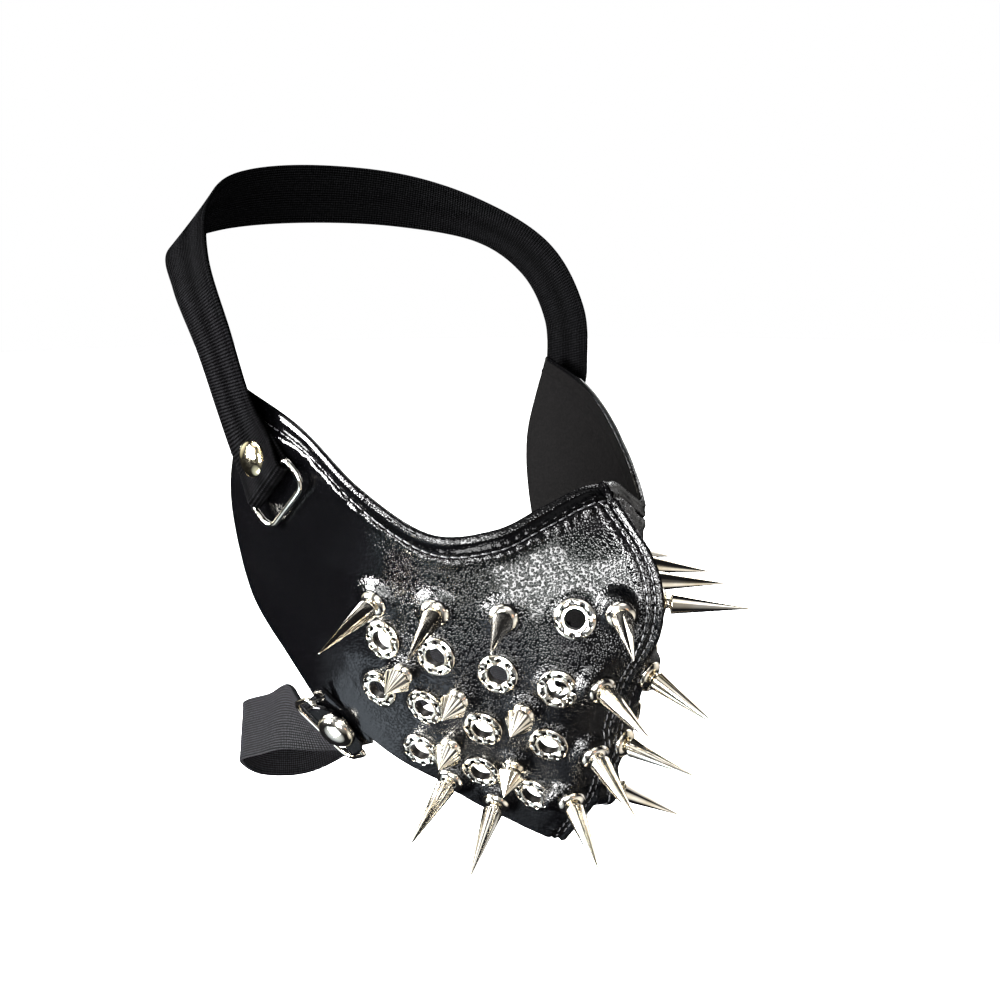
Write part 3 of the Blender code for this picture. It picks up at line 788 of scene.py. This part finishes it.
def sewRows(name, lines, first, lead, margin, offsets, upright):
    # rows of stitches at each offset from the edge that the lines start from
    verts, faces = [], []
    length = alongLength(lines[:, 0])
    pitch = shell["stitchPitch"]
    for side in (1, -1):
        for offset in offsets:
            for number in range(int((length[-1] - margin) / pitch)):
                centre = first + (number + lead) * pitch
                ends = []
                for shift in (-stitch["length"] / 2, stitch["length"] / 2):
                    along = indexAt(centre + shift, length)
                    aside = indexAt(offset, alongLength(lines[int(round(along)), :30]))
                    spot = (aside, along) if upright else (along, aside)
                    place, normal = surfaceAt(*spot, side)
                    ends.append(place + normal * stitch["lift"])
                threadMesh(verts, faces, ends[0], ends[1], normal)
    return addPiece(name, meshFrom(name, verts, faces), thread, "leather")


sewRows("top_edge_stitches", panelPoints, 0.0, 1.0, 0.006, (shell["hemWidth"],), False)
sewRows(
    "seam_stitches", panelPoints.transpose(1, 0, 2), 0.006, 0.5, 0.010, shell["seamStitch"], True,
)
print("stitches sewn")


# eyelets


def flangeHeight(distance):
    inner, outer = eyelet["hole"] + eyelet["mouth"], eyelet["radius"] - eyelet["edge"]
    share = (distance - inner) / (outer - inner)
    return eyelet["dome"] * (0.62 + 0.34 * math.sin(math.pi * min(max(share * 0.8 + 0.1, 0), 1)))


def eyeletParts():
    # flange with vent holes, rolled lips, barrel and the ring inside the leather
    verts, faces = [], []
    hole, radius, edge = eyelet["hole"], eyelet["radius"], eyelet["edge"]
    inner, outer = hole + eyelet["mouth"], radius - edge
    half = math.pi / eyelet["vents"]
    around, rings, sides = 24, 4, 96

    def add(distance, angle, drop=0.0):
        height = flangeHeight(distance) - drop
        verts.append((distance * math.cos(angle), distance * math.sin(angle), height))
        return len(verts) - 1

    for vent in range(eyelet["vents"]):
        middle = math.tau * vent / eyelet["vents"]
        grid = []
        for step in range(around):
            angle = math.tau * (step + 0.5) / around
            u, v = math.cos(angle), math.sin(angle)
            # where this spoke meets the sector's border
            stretch = 1.0 / max(abs(u), abs(v))
            edgeAngle, edgeShare = u * stretch * half, v * stretch
            edgeDistance = mix(inner, outer, (edgeShare + 1.0) / 2.0)
            holeDistance = eyelet["ventRing"] + eyelet["ventRadius"] * v
            holeAngle = eyelet["ventRadius"] * u / eyelet["ventRing"]
            line = [add(holeDistance, middle + holeAngle, eyelet["ventDepth"])]
            line.append(add(holeDistance, middle + holeAngle, 0.00012))
            for ring in range(1, rings + 1):
                share = ring / rings
                turn = middle + mix(holeAngle, edgeAngle, share)
                line.append(add(mix(holeDistance, edgeDistance, share), turn))
            grid.append(line)
        for step in range(around):
            now, after = grid[step], grid[(step + 1) % around]
            for ring in range(len(now) - 1):
                faces.append((now[ring], after[ring], after[ring + 1], now[ring + 1]))
    rimTop, lip = flangeHeight(outer), flangeHeight(inner)
    rim = [(outer, rimTop)]
    for angle in (0.5, 1.0, 1.5):
        height = rimTop - edge + edge * math.cos(angle)
        rim.append((outer + edge * math.sin(angle), height))
    rim.append((radius, 0.0))
    # double rolled lip at the mouth, then the barrel and the ring that clamps it inside
    back = -mask["leather"] - eyelet["stand"]
    mouth = [(inner, lip)]
    for centre, size in ((inner - 0.00020, 0.00022), (hole + 0.00022, 0.00026)):
        for angle in (0.3, 0.9, 1.57, 2.24, 2.84):
            mouth.append((centre + size * math.cos(angle), lip + size * math.sin(angle) * 1.1))
    mouth += [
        (hole, lip * 0.5), (hole, back + 0.0003), (hole + 0.0004, back - 0.0003),
        (hole + 0.0012, back - 0.0002), (hole + 0.0026, back + 0.0002),
        (hole + 0.0027, back + 0.0005),
    ]
    for profile in (rim, mouth):
        more, turned = turnedMesh(profile, sides)
        if profile is mouth:
            turned = [tuple(reversed(face)) for face in turned]
        joinForm(verts, faces, more, turned)
    return verts, faces


def buildEyelets():
    verts, faces = eyeletParts()
    within = []
    for face in faces:
        middle = sum((Vector(verts[corner]) for corner in face), Vector()) / len(face)
        distance = math.hypot(middle.x, middle.y)
        # vent floors and everything below the leather take the darkened metal as painted shade
        ventFloor = middle.z < eyelet["dome"] * 0.45 and distance < eyelet["radius"] - 0.0006
        within.append(1 if ventFloor or middle.z < 0.0 else 0)
    for kind, number, side, seat, axis, _ in hardware:
        if kind != "eyelet":
            continue
        matrix = standing(seat, axis, side)
        matrix = matrix @ Matrix.Rotation(math.radians(13.0 * number), 4, "Z")
        name = f"vent_eyelet_{sideName(side)}_{number}"
        mesh = meshFrom(name, placed(verts, matrix), faces, 50)
        mesh.materials.append(nickel)
        mesh.materials.append(bore)
        for face, dull in zip(mesh.polygons, within):
            face.material_index = dull
        addPiece(name, mesh, None, "nickel", f"eyelet_{sideName(side)}_{number}")


buildEyelets()
print("eyelets made")


# cone spikes and short studs


def roundedProfile(corners, steps=3):
    # softens each inner corner (radius, height, size, flute share) by a small curve
    out = []
    for k, (radius, height, size, share) in enumerate(corners):
        here = Vector((radius, height))
        if size == 0.0 or k in (0, len(corners) - 1):
            out.append((radius, height, share))
            continue
        before = Vector(corners[k - 1][:2]) - here
        after = Vector(corners[k + 1][:2]) - here
        first = here + before.normalized() * min(size, before.length * 0.45)
        last = here + after.normalized() * min(size, after.length * 0.45)
        for step in range(steps + 1):
            t = step / steps
            spot = first * (1 - t) ** 2 + here * 2 * t * (1 - t) + last * t ** 2
            out.append((spot.x, spot.y, share))
    return out


def coneProfile(sizes):
    length, radius, washer = sizes["length"], sizes["radius"], sizes["washer"]
    top = foot["washerHeight"] + foot["neckHeight"]
    neck = radius * foot["neckShare"]
    high = foot["washerHeight"]
    return roundedProfile([
        (0.0, length, 0.0, 0.0), (0.00022, length - 0.0006, 0.0003, 0.0),
        (radius * 0.97, top + 0.0009, 0.0004, 0.0), (radius, top + 0.0003, 0.0003, 0.0),
        (radius * 0.92, top, 0.0002, 0.0), (neck, top - 0.0003, 0.0002, 0.0),
        (neck, high * 0.95, 0.0003, 0.0), (washer * 0.62, high * 0.90, 0.0006, 0.0),
        (washer * 0.90, high * 0.55, 0.0007, 0.0), (washer, high * 0.12, 0.0003, 0.0),
        (washer * 0.97, 0.0, 0.0, 0.0), (0.0, 0.0, 0.0, 0.0),
    ])


def studProfile(sizes):
    length, radius, washer = sizes["length"], sizes["radius"], sizes["washer"]
    high = foot["washerHeight"]
    top = high + foot["neckHeight"]
    neck = radius * foot["neckShare"] * 1.2
    return roundedProfile([
        (0.0, length, 0.0, 0.0), (0.00020, length - 0.0004, 0.0002, 0.2),
        (radius * 0.98, top + 0.0010, 0.0003, 1.0), (radius, top + 0.0004, 0.0003, 1.0),
        (radius * 0.80, top - 0.0002, 0.0002, 0.6), (neck, top - 0.0004, 0.0002, 0.0),
        (neck, high * 0.95, 0.0003, 0.0), (washer * 0.70, high * 0.90, 0.0006, 0.0),
        (washer * 0.98, high * 0.45, 0.0006, 0.0), (washer, high * 0.12, 0.0003, 0.0),
        (washer * 0.96, 0.0, 0.0, 0.0), (0.0, 0.0, 0.0, 0.0),
    ])


def buildCones():
    forms = {
        "spike": turnedMesh(coneProfile(spike), spike["sides"]),
        "stud": turnedMesh(studProfile(stud), stud["sides"], 8, 0.10),
    }
    for kind, number, side, seat, axis, _ in hardware:
        if kind == "eyelet":
            continue
        verts, faces = forms[kind]
        matrix = standing(seat, axis, side)
        name = f"{'long' if kind == 'spike' else 'short'}_cone_{sideName(side)}_{number}"
        mesh = meshFrom(name, placed(verts, matrix), faces, 40)
        addPiece(name, mesh, nickel, "nickel", f"{kind}_{sideName(side)}_{number}")


buildCones()
print("cones made")


# screws that hold the cones, inside the leather

screw = {
    "radius": 0.0036, "height": 0.0009, "sink": 0.0001, "sides": 32,
    # radius and height shares, from the rim to the middle
    "profile": ((0.97, 0.0), (1.0, -0.2), (0.93, -0.72), (0.6, -1.0), (0.0, -1.0)),
}


def buildScrews():
    profile = [(r * screw["radius"], h * screw["height"]) for r, h in screw["profile"]]
    verts, faces = turnedMesh(profile, screw["sides"])
    allVerts, allFaces = [], []
    for kind, number, side, *_ in hardware:
        if kind == "eyelet":
            continue
        row = (spike if kind == "spike" else stud)["places"][number - 1]
        place, normal, _, _ = panelFrame(row[0], row[1])
        inside = place - normal * (mask["leather"] + screw["sink"])
        joinForm(allVerts, allFaces, placed(verts, standing(inside, normal, side)), faces)
    mesh = meshFrom("inner_screw_heads", allVerts, allFaces, 45)
    addPiece("inner_screw_heads", mesh, nickel, "nickel")


buildScrews()
print("screws made")


# wire rings

ring = {
    "wire": 0.0010, "width": 0.0295, "upperReach": 0.0110, "lowerReach": 0.0150,
    "bandCorner": 0.0020, "freeCorner": 0.0050, "cornerSteps": 10,
}


def buildRing(name, node, nearBar, farBar, barWay):
    reachWay = (farBar - nearBar).normalized()
    across = (barWay - reachWay * barWay.dot(reachWay)).normalized()
    middle = (nearBar + farBar) / 2
    halfReach = (farBar - nearBar).length / 2
    near, far = ring["bandCorner"], ring["freeCorner"]
    corners = ((1, 1, far), (-1, 1, far), (-1, -1, near), (1, -1, near))
    places = []
    for quarter, (over, along, radius) in enumerate(corners):
        for step in range(ring["cornerSteps"] + 1):
            angle = math.pi / 2 * (quarter + step / ring["cornerSteps"])
            places.append(
                middle
                + across * (over * (ring["width"] / 2 - radius) + radius * math.cos(angle))
                + reachWay * (along * (halfReach - radius) + radius * math.sin(angle))
            )
    curve = bpy.data.curves.new(name, "CURVE")
    curve.dimensions = "3D"
    curve.bevel_depth = ring["wire"]
    curve.bevel_resolution = 5
    spline = curve.splines.new("POLY")
    spline.points.add(len(places) - 1)
    for point, place in zip(spline.points, places):
        point.co = (*place, 1.0)
    spline.use_cyclic_u = True
    spline.use_smooth = True
    return addPiece(name, curve, nickel, "nickel", node)


def ringOf(level, side, *ends):
    word = sideName(side)
    places = [mirrored(place, side) for place in ends]
    buildRing(f"{level}_wire_{word}", f"{level}_ring_{word}", *places)


# straps and tabs

strap = {
    "upperWidth": 0.0250, "lowerWidth": 0.0250, "thick": 0.0014, "allowance": 0.0005,
    "return": 0.0210, "slack": 0.0003, "hairpinSteps": 18, "runSteps": 22,
    "upperFold": (0.9035, 0.218), "upperRivet": (0.9346, 0.165), "upperFarBar": (0.849, 0.3076),
    "upperBarWay": (-0.219, -0.856, 0.795),
    "ribs": 22, "ribDepth": 0.00016,
    # out, back, up, then the width line as out, back, up
    "upperRun": (
        (1.070, 0.825, 0.165, 0.02, -0.965, 0.26), (1.120, 0.870, 0.335, 0.00, -0.95, 0.30),
        (1.100, 1.000, 0.500, -0.10, -0.85, 0.52), (0.930, 1.180, 0.615, -0.35, -0.62, 0.70),
        (0.550, 1.340, 0.680, -0.15, -0.45, 0.88), (0.000, 1.410, 0.700, 0.00, -0.35, 0.94),
    ),
    "lowerRun": (
        (0.745, 0.940, -0.755, 0.20, -0.33, -0.90), (0.690, 1.140, -0.840, 0.42, -0.31, -0.85),
        (0.600, 1.390, -0.950, 0.30, -0.33, -0.89), (0.335, 1.510, -1.075, 0.21, -0.11, -0.94),
        (0.000, 1.545, -1.130, 0.00, -0.15, -0.99),
    ),
}
tab = {
    "root": (0.842, 1.0), "way": (-0.12, 0.85, -0.38), "barWay": (-0.61, -0.08, -0.96),
    "width": 0.0245, "reach": 0.0082, "overlap": 0.0040, "overrun": 0.0005, "share": 0.9,
    "rivetShare": 0.40, "endCorner": 0.0075, "strapUnder": 0.0066, "strapSink": 0.0034,
    "strapLevel": 0.0040,
}
rivet = {"radius": 0.0074, "height": 0.0034, "domeShare": 0.92, "sink": 0.0003, "sides": 64}


def hairpin(bar, way, normal, thickness, backUnder):
    radius = ring["wire"] + mask["gap"] + thickness / 2 + strap["slack"]
    low = bar - normal * radius
    places = [low - way * mix(backUnder, radius, share) for share in (0.0, 0.25, 0.5, 0.75, 1.0)]
    for step in range(strap["hairpinSteps"] + 1):
        angle = math.pi * (step / strap["hairpinSteps"] - 0.5)
        places.append(bar + normal * radius * math.sin(angle) + way * radius * math.cos(angle))
    return places


def upperLayout():
    fold, normal, _, _ = panelFrame(*strap["upperFold"])
    rivetPlace, rivetNormal, _, _ = panelFrame(*strap["upperRivet"])
    barWay = Vector(strap["upperBarWay"])
    barWay = (barWay - normal * barWay.dot(normal)).normalized()
    way = normal.cross(barWay).normalized()
    if way.z > 0:
        way = -way
    turn = ring["wire"] + mask["gap"] + strap["thick"] / 2 + strap["slack"]
    under = mask["gap"] + strap["allowance"] + strap["thick"] / 2
    bar = fold + normal * (under + turn)
    farPlace, farNormal, _, _ = panelFrame(*strap["upperFarBar"])
    farTop = farPlace + farNormal * (ring["wire"] + mask["gap"] + strap["allowance"])
    farBar = bar + (farTop - bar).normalized() * ring["upperReach"]
    rise = under + strap["thick"] + 2 * mask["gap"]
    seat = rivetPlace + rivetNormal * rise
    places = hairpin(bar, way, normal, strap["thick"], strap["return"])
    last = places[-1]
    stations = [(place, barWay) for place in places]
    for share in (0.25, 0.5, 0.75, 1.0):
        stations.append((last.lerp(seat, share), barWay))
    return bar, farBar, barWay, stations, seat, rivetNormal, rise


def lowerLayout():
    root, normal, _, downWay = panelFrame(*tab["root"])
    way = Vector(tab["way"]).normalized()
    barWay = Vector(tab["barWay"])
    barWay = (barWay - way * barWay.dot(way)).normalized()
    outward = way.cross(barWay).normalized()
    if outward.dot(normal) < 0:
        outward = -outward
    middle = root - normal * (mask["leather"] / 2)
    turn = ring["wire"] + mask["gap"] + mask["leather"] / 2 + strap["slack"]
    bar = middle + way * tab["reach"] + outward * turn
    return middle, downWay, way, barWay, outward, turn, bar


def runStations(start, startAcross, run, steps):
    places = [start] + [facePoint(*row[:3]) for row in run]
    lines = [startAcross] + [Vector(row[3:]).normalized() for row in run]
    places.append(mirrored(places[-2], -1))
    lines.append(mirrored(lines[-2], -1))
    return [
        (smoothPoint(places, step / steps), smoothPoint(lines, step / steps).normalized())
        for step in range(1, len(run) * steps + 1)
    ]


def wholeStrap(half):
    other = [(mirrored(place, -1), mirrored(across, -1)) for place, across in reversed(half[:-1])]
    return half + other


def bandPiece(name, stations, width, thick, material, slot, nodes, ribs=0, widths=None,
              columns=24, selvedge=0.0):
    # a woven or cut band through its stations, with rounded edges and optional lengthwise ribs
    places = [station[0] for station in stations]
    count = len(places)
    shape = []
    half = thick / 2
    rounding = half * 0.6
    for k in range(columns + 1):
        v = k / columns * 2.0 - 1.0
        rib = 0.0
        if ribs:
            wave = 0.5 - 0.5 * math.cos(math.tau * ribs * (v + 1.0) / 2.0)
            rib = strap["ribDepth"] * wave - strap["ribDepth"] / 2
        if selvedge and abs(v) > 0.90:
            rib = selvedge
        shape.append((v, half + rib, 0.0))
    # across share, height, and how far the rounded edge stands out
    section = shape + [(1.0, half * 0.5, 0.75), (1.0, 0.0, 1.0), (1.0, -half * 0.5, 0.75)]
    section += [(v, -h, 0.0) for v, h, _ in reversed(shape)]
    section += [(-1.0, -half * 0.5, -0.75), (-1.0, 0.0, -1.0), (-1.0, half * 0.5, -0.75)]
    verts, uvs = [], []
    travelled = 0.0
    for i, (place, across) in enumerate(stations):
        ahead = places[min(i + 1, count - 1)] - places[max(i - 1, 0)]
        across = across.normalized()
        normal = ahead.cross(across).normalized()
        if i:
            travelled += (place - places[i - 1]).length
        wide = (width if widths is None else widths[i]) / 2 - rounding
        for v, height, push in section:
            offset = v * wide + push * rounding
            verts.append(place + across * offset + normal * height)
            uvs.append((travelled, offset))
    size = len(section)
    faces = []
    for i in range(count - 1):
        for j in range(size):
            after = (j + 1) % size
            low, high = i * size, (i + 1) * size
            faces.append((low + j, high + j, high + after, low + after))
    faces.append(tuple(range(size)))
    faces.append(tuple((count - 1) * size + j for j in reversed(range(size))))
    mesh = bpy.data.meshes.new(name)
    mesh.from_pydata([tuple(vert) for vert in verts], [], faces)
    layer = mesh.uv_layers.new(name="band")
    for loop in mesh.loops:
        layer.data[loop.index].uv = uvs[loop.vertex_index]
    smoothMesh(mesh, 50)
    faceOutwards(mesh)
    return addPiece(name, mesh, material, slot, *nodes)


def rivetPiece(name, place, normal, side, depth, metal):
    # a high dome inside a thin rolled rim
    steps = 12
    radius, height = rivet["radius"], rivet["height"]
    dome = radius * rivet["domeShare"]
    profile = [(0.0, height)]
    for step in range(1, steps + 1):
        angle = math.pi / 2 * step / steps
        profile.append((dome * math.sin(angle), 0.0004 + (height - 0.0004) * math.cos(angle)))
    profile += [
        (dome * 1.02, 0.00015), (radius * 0.87, 0.00012), (radius * 0.91, 0.00075),
        (radius * 0.95, 0.00098), (radius * 0.985, 0.00080), (radius, 0.00035), (radius, -0.0002),
        (radius * 0.97, -rivet["sink"]), (0.0018, -rivet["sink"]), (0.0018, -depth), (0.0, -depth),
    ]
    verts, faces = turnedMesh(profile, rivet["sides"])
    mesh = meshFrom(name, placed(verts, standing(place, normal, side)), faces, 40)
    return addPiece(name, mesh, metal, "nickel")


def buildUpper():
    bar, farBar, barWay, stations, seat, rivetNormal, rise = upperLayout()
    half = stations + runStations(seat, barWay, strap["upperRun"], strap["runSteps"])
    bandPiece(
        "upper_elastic", wholeStrap(half), strap["upperWidth"], strap["thick"], elastic, "elastic",
        ["upper_strap"], strap["ribs"], columns=114, selvedge=0.00008,
    )
    for side in (1, -1):
        ringOf("upper", side, bar, farBar, barWay)
        rivetPiece(
            f"upper_rivet_{sideName(side)}", seat + rivetNormal * strap["thick"] / 2, rivetNormal,
            side, rise + strap["thick"] / 2 - 2 * mask["gap"], brass,
        )


def lowerRivet():
    # foot and axis of the lower rivet's head, end of the tab, depth of the strap under the bar
    _, _, way, barWay, outward, turn, bar = lowerLayout()
    low = turn - mask["leather"] - 2 * mask["gap"]
    end = bar - way * (tab["reach"] + tab["overrun"]) - outward * low
    top = bar + outward * turn
    axis = (top - end).cross(barWay).normalized()
    if axis.dot(outward) < 0:
        axis = -axis
    seat = top.lerp(end, tab["rivetShare"]) + axis * mask["leather"] / 2
    webDepth = turn + mask["leather"] / 2 + tab["strapSink"] + strap["thick"] / 2
    return seat, axis, end, webDepth


def buildLower():
    _, _, way, barWay, outward, _, bar = lowerLayout()
    _, _, _, webDepth = lowerRivet()
    farBar = bar + way * ring["lowerReach"]
    deep = bar + way * tab["strapLevel"] - outward * webDepth
    below = farBar - outward * (ring["wire"] + mask["gap"] + strap["slack"] + strap["thick"] / 2)
    under = tab["strapUnder"] + tab["strapLevel"]
    half = [(deep - way * under * share, barWay) for share in (1.0, 0.5)]
    for step in range(13):
        half.append((deep.lerp(below, ease(step / 12)), barWay))
    half += runStations(below, barWay, strap["lowerRun"], strap["runSteps"])
    # the lower band takes the lightened elastic as painted sheen
    bandPiece(
        "lower_elastic", wholeStrap(half), strap["lowerWidth"], strap["thick"], paintedSheenElastic,
        "elastic", ["lower_strap"], columns=48, selvedge=0.00010,
    )
    for side in (1, -1):
        ringOf("lower", side, bar, farBar, barWay)


def tabWidths(places):
    # full width, rounded towards the end
    length = alongLength(np.array([tuple(place) for place in places]))
    corner = tab["endCorner"]
    widths = []
    for reached in length:
        left = length[-1] - reached
        half = tab["width"] / 2
        if left < corner:
            half = half - corner + math.sqrt(max(corner ** 2 - (corner - left) ** 2, 1e-8))
        widths.append(max(half * 2, 0.003))
    return widths


def buildTabs():
    middle, downWay, way, barWay, outward, turn, bar = lowerLayout()
    seat, rivetNormal, end, _ = lowerRivet()
    top = bar + outward * turn
    places = [middle - downWay * tab["overlap"]]
    places += hairpin(bar, way, outward, mask["leather"], tab["reach"])
    steps = 24
    for step in range(1, steps + 1):
        share = 1.0 - (1.0 - step / steps) ** 1.5
        places.append(top.lerp(end, share))
    for side in (1, -1):
        word = sideName(side)
        stations = [(mirrored(place, side), mirrored(barWay, side)) for place in places]
        bandPiece(
            f"lower_tab_{word}", stations, tab["width"], mask["leather"] * tab["share"], tabLeather,
            "leather", [], widths=tabWidths(places), columns=20,
        )
        rivetPiece(f"lower_rivet_{word}", seat, rivetNormal, side, 2 * turn, nickel)


buildUpper()
buildLower()
buildTabs()
print("straps, rings and tabs made")


# floor, light and camera

studio = {
    "floorDrop": 0.10, "floorRadius": 3.0,
    "azimuth": -43.0, "elevation": 12.0, "distance": 0.463, "lens": 50.0,
    "shift": (-0.104, -0.015),
    # soft panels round the object, as the metal and the leather see them
    "panels": (
        # azimuth, elevation, inner and outer angle, brightness, colour
        (-104.0, -50.0, 8.0, 28.0, 1.1, (0.84, 0.93, 1.0)),
        (-56.0, -12.0, 4.0, 14.0, 0.4, (1.0, 1.0, 1.0)),
        (-40.0, 8.0, 10.0, 55.0, 0.35, (1.0, 0.98, 0.95)),
        (100.0, 30.0, 6.0, 24.0, 2.6, (1.0, 1.0, 1.0)),
        (-118.0, 62.0, 8.0, 22.0, 2.8, (1.0, 1.0, 1.0)),
        (20.0, -35.0, 8.0, 34.0, 1.3, (1.0, 0.96, 0.90)),
        (-25.0, 42.0, 6.0, 24.0, 1.9, (1.0, 1.0, 1.0)),
        (80.0, 5.0, 10.0, 40.0, 1.4, (1.0, 0.98, 0.95)),
        (-12.0, -6.0, 3.0, 10.0, 1.2, (1.0, 0.58, 0.34)),
        (-100.0, 28.0, 5.0, 18.0, 1.5, (1.0, 0.97, 0.92)),
        (-168.0, 12.0, 8.0, 24.0, 1.3, (1.0, 0.97, 0.82)),
    ),
    "gloom": (0.012, 0.012, 0.014),
    "aim": (-0.02, -0.005, -0.04),
    # azimuth, elevation, distance from the aim, size, watts, colour
    "lights": {
        "key": (-59.0, 5.0, 1.1, (0.44, 0.66), 68.0, (1.0, 1.0, 1.0)),
        "side": (-118.0, 13.0, 1.0, (0.58, 0.58), 200.0, (1.0, 1.0, 1.0)),
        "low": (-112.0, -40.0, 0.30, (0.14, 0.12), 0.22, (0.78, 0.89, 1.0)),
        "rim": (120.0, 40.0, 1.2, (0.5, 0.9), 12.0, (1.0, 1.0, 1.0)),
    },
}


def wayTo(azimuth, elevation):
    a, e = math.radians(azimuth), math.radians(elevation)
    return Vector((math.sin(a) * math.cos(e), -math.cos(a) * math.cos(e), math.sin(e)))


def makeWorld():
    world = bpy.data.worlds.new("studio")
    world.use_nodes = True
    tree = world.node_tree
    way = tree.nodes.new("ShaderNodeTexCoord").outputs["Generated"]
    total = tree.nodes.new("ShaderNodeRGB")
    total.outputs[0].default_value = (*studio["gloom"], 1.0)
    total = total.outputs[0]
    for azimuth, elevation, inner, outer, bright, colour in studio["panels"]:
        dot = addNode(tree, "ShaderNodeVectorMath", operation="DOT_PRODUCT")
        tree.links.new(way, dot.inputs[0])
        dot.inputs[1].default_value = wayTo(azimuth, elevation)
        patch = rangeNode(
            tree, dot.outputs["Value"], 0.0, bright,
            math.cos(math.radians(outer)), math.cos(math.radians(inner)),
        )
        total = mixNode(tree, patch, total, colour, "ADD")
    # the camera sees plain white behind the object
    seen = tree.nodes.new("ShaderNodeLightPath").outputs["Is Camera Ray"]
    backdrop = mixNode(tree, seen, total, (1.0, 1.0, 1.0))
    tree.links.new(backdrop, tree.nodes["Background"].inputs["Color"])
    bpy.context.scene.world = world


def placeFloor():
    mesh = bpy.data.meshes.new("floor")
    form = bmesh.new()
    bmesh.ops.create_circle(form, cap_ends=True, radius=studio["floorRadius"], segments=64)
    form.to_mesh(mesh)
    form.free()
    floor = bpy.data.objects.new("floor", mesh)
    floor.location = (0.0, 0.0, cadBox[0].z - studio["floorDrop"])
    floor.visible_glossy = False
    bpy.context.scene.collection.objects.link(floor)
    material, _, shader = nodeMaterial("pale floor", (0.92, 0.92, 0.93), 0.6)
    shader.inputs["Emission Color"].default_value = (1.0, 1.0, 1.0, 1.0)
    shader.inputs["Emission Strength"].default_value = 0.85
    mesh.materials.append(material)


def aimed(name, data, place, way):
    thing = bpy.data.objects.new(name, data)
    thing.location = place
    thing.rotation_mode = "QUATERNION"
    thing.rotation_quaternion = way.to_track_quat("-Z", "Y")
    bpy.context.scene.collection.objects.link(thing)
    return thing


def placeLights():
    aim = Vector(studio["aim"])
    for name, (azimuth, elevation, distance, size, power, colour) in studio["lights"].items():
        light = bpy.data.lights.new(name, "AREA")
        light.shape = "RECTANGLE"
        light.size, light.size_y = size
        light.energy = power
        light.color = colour
        place = aim + wayTo(azimuth, elevation) * distance
        aimed(name, light, place, aim - place).visible_camera = False


def placeCamera():
    back = wayTo(studio["azimuth"], studio["elevation"])
    camera = bpy.data.cameras.new("camera")
    camera.lens = studio["lens"]
    camera.sensor_width = 36.0
    camera.shift_x, camera.shift_y = studio["shift"]
    camera.clip_start, camera.clip_end = 0.01, 20.0
    bpy.context.scene.camera = aimed("camera", camera, back * studio["distance"], -back)


placeFloor()
makeWorld()
placeLights()
placeCamera()
bpy.context.scene.view_settings.view_transform = "Standard"
print("studio ready")
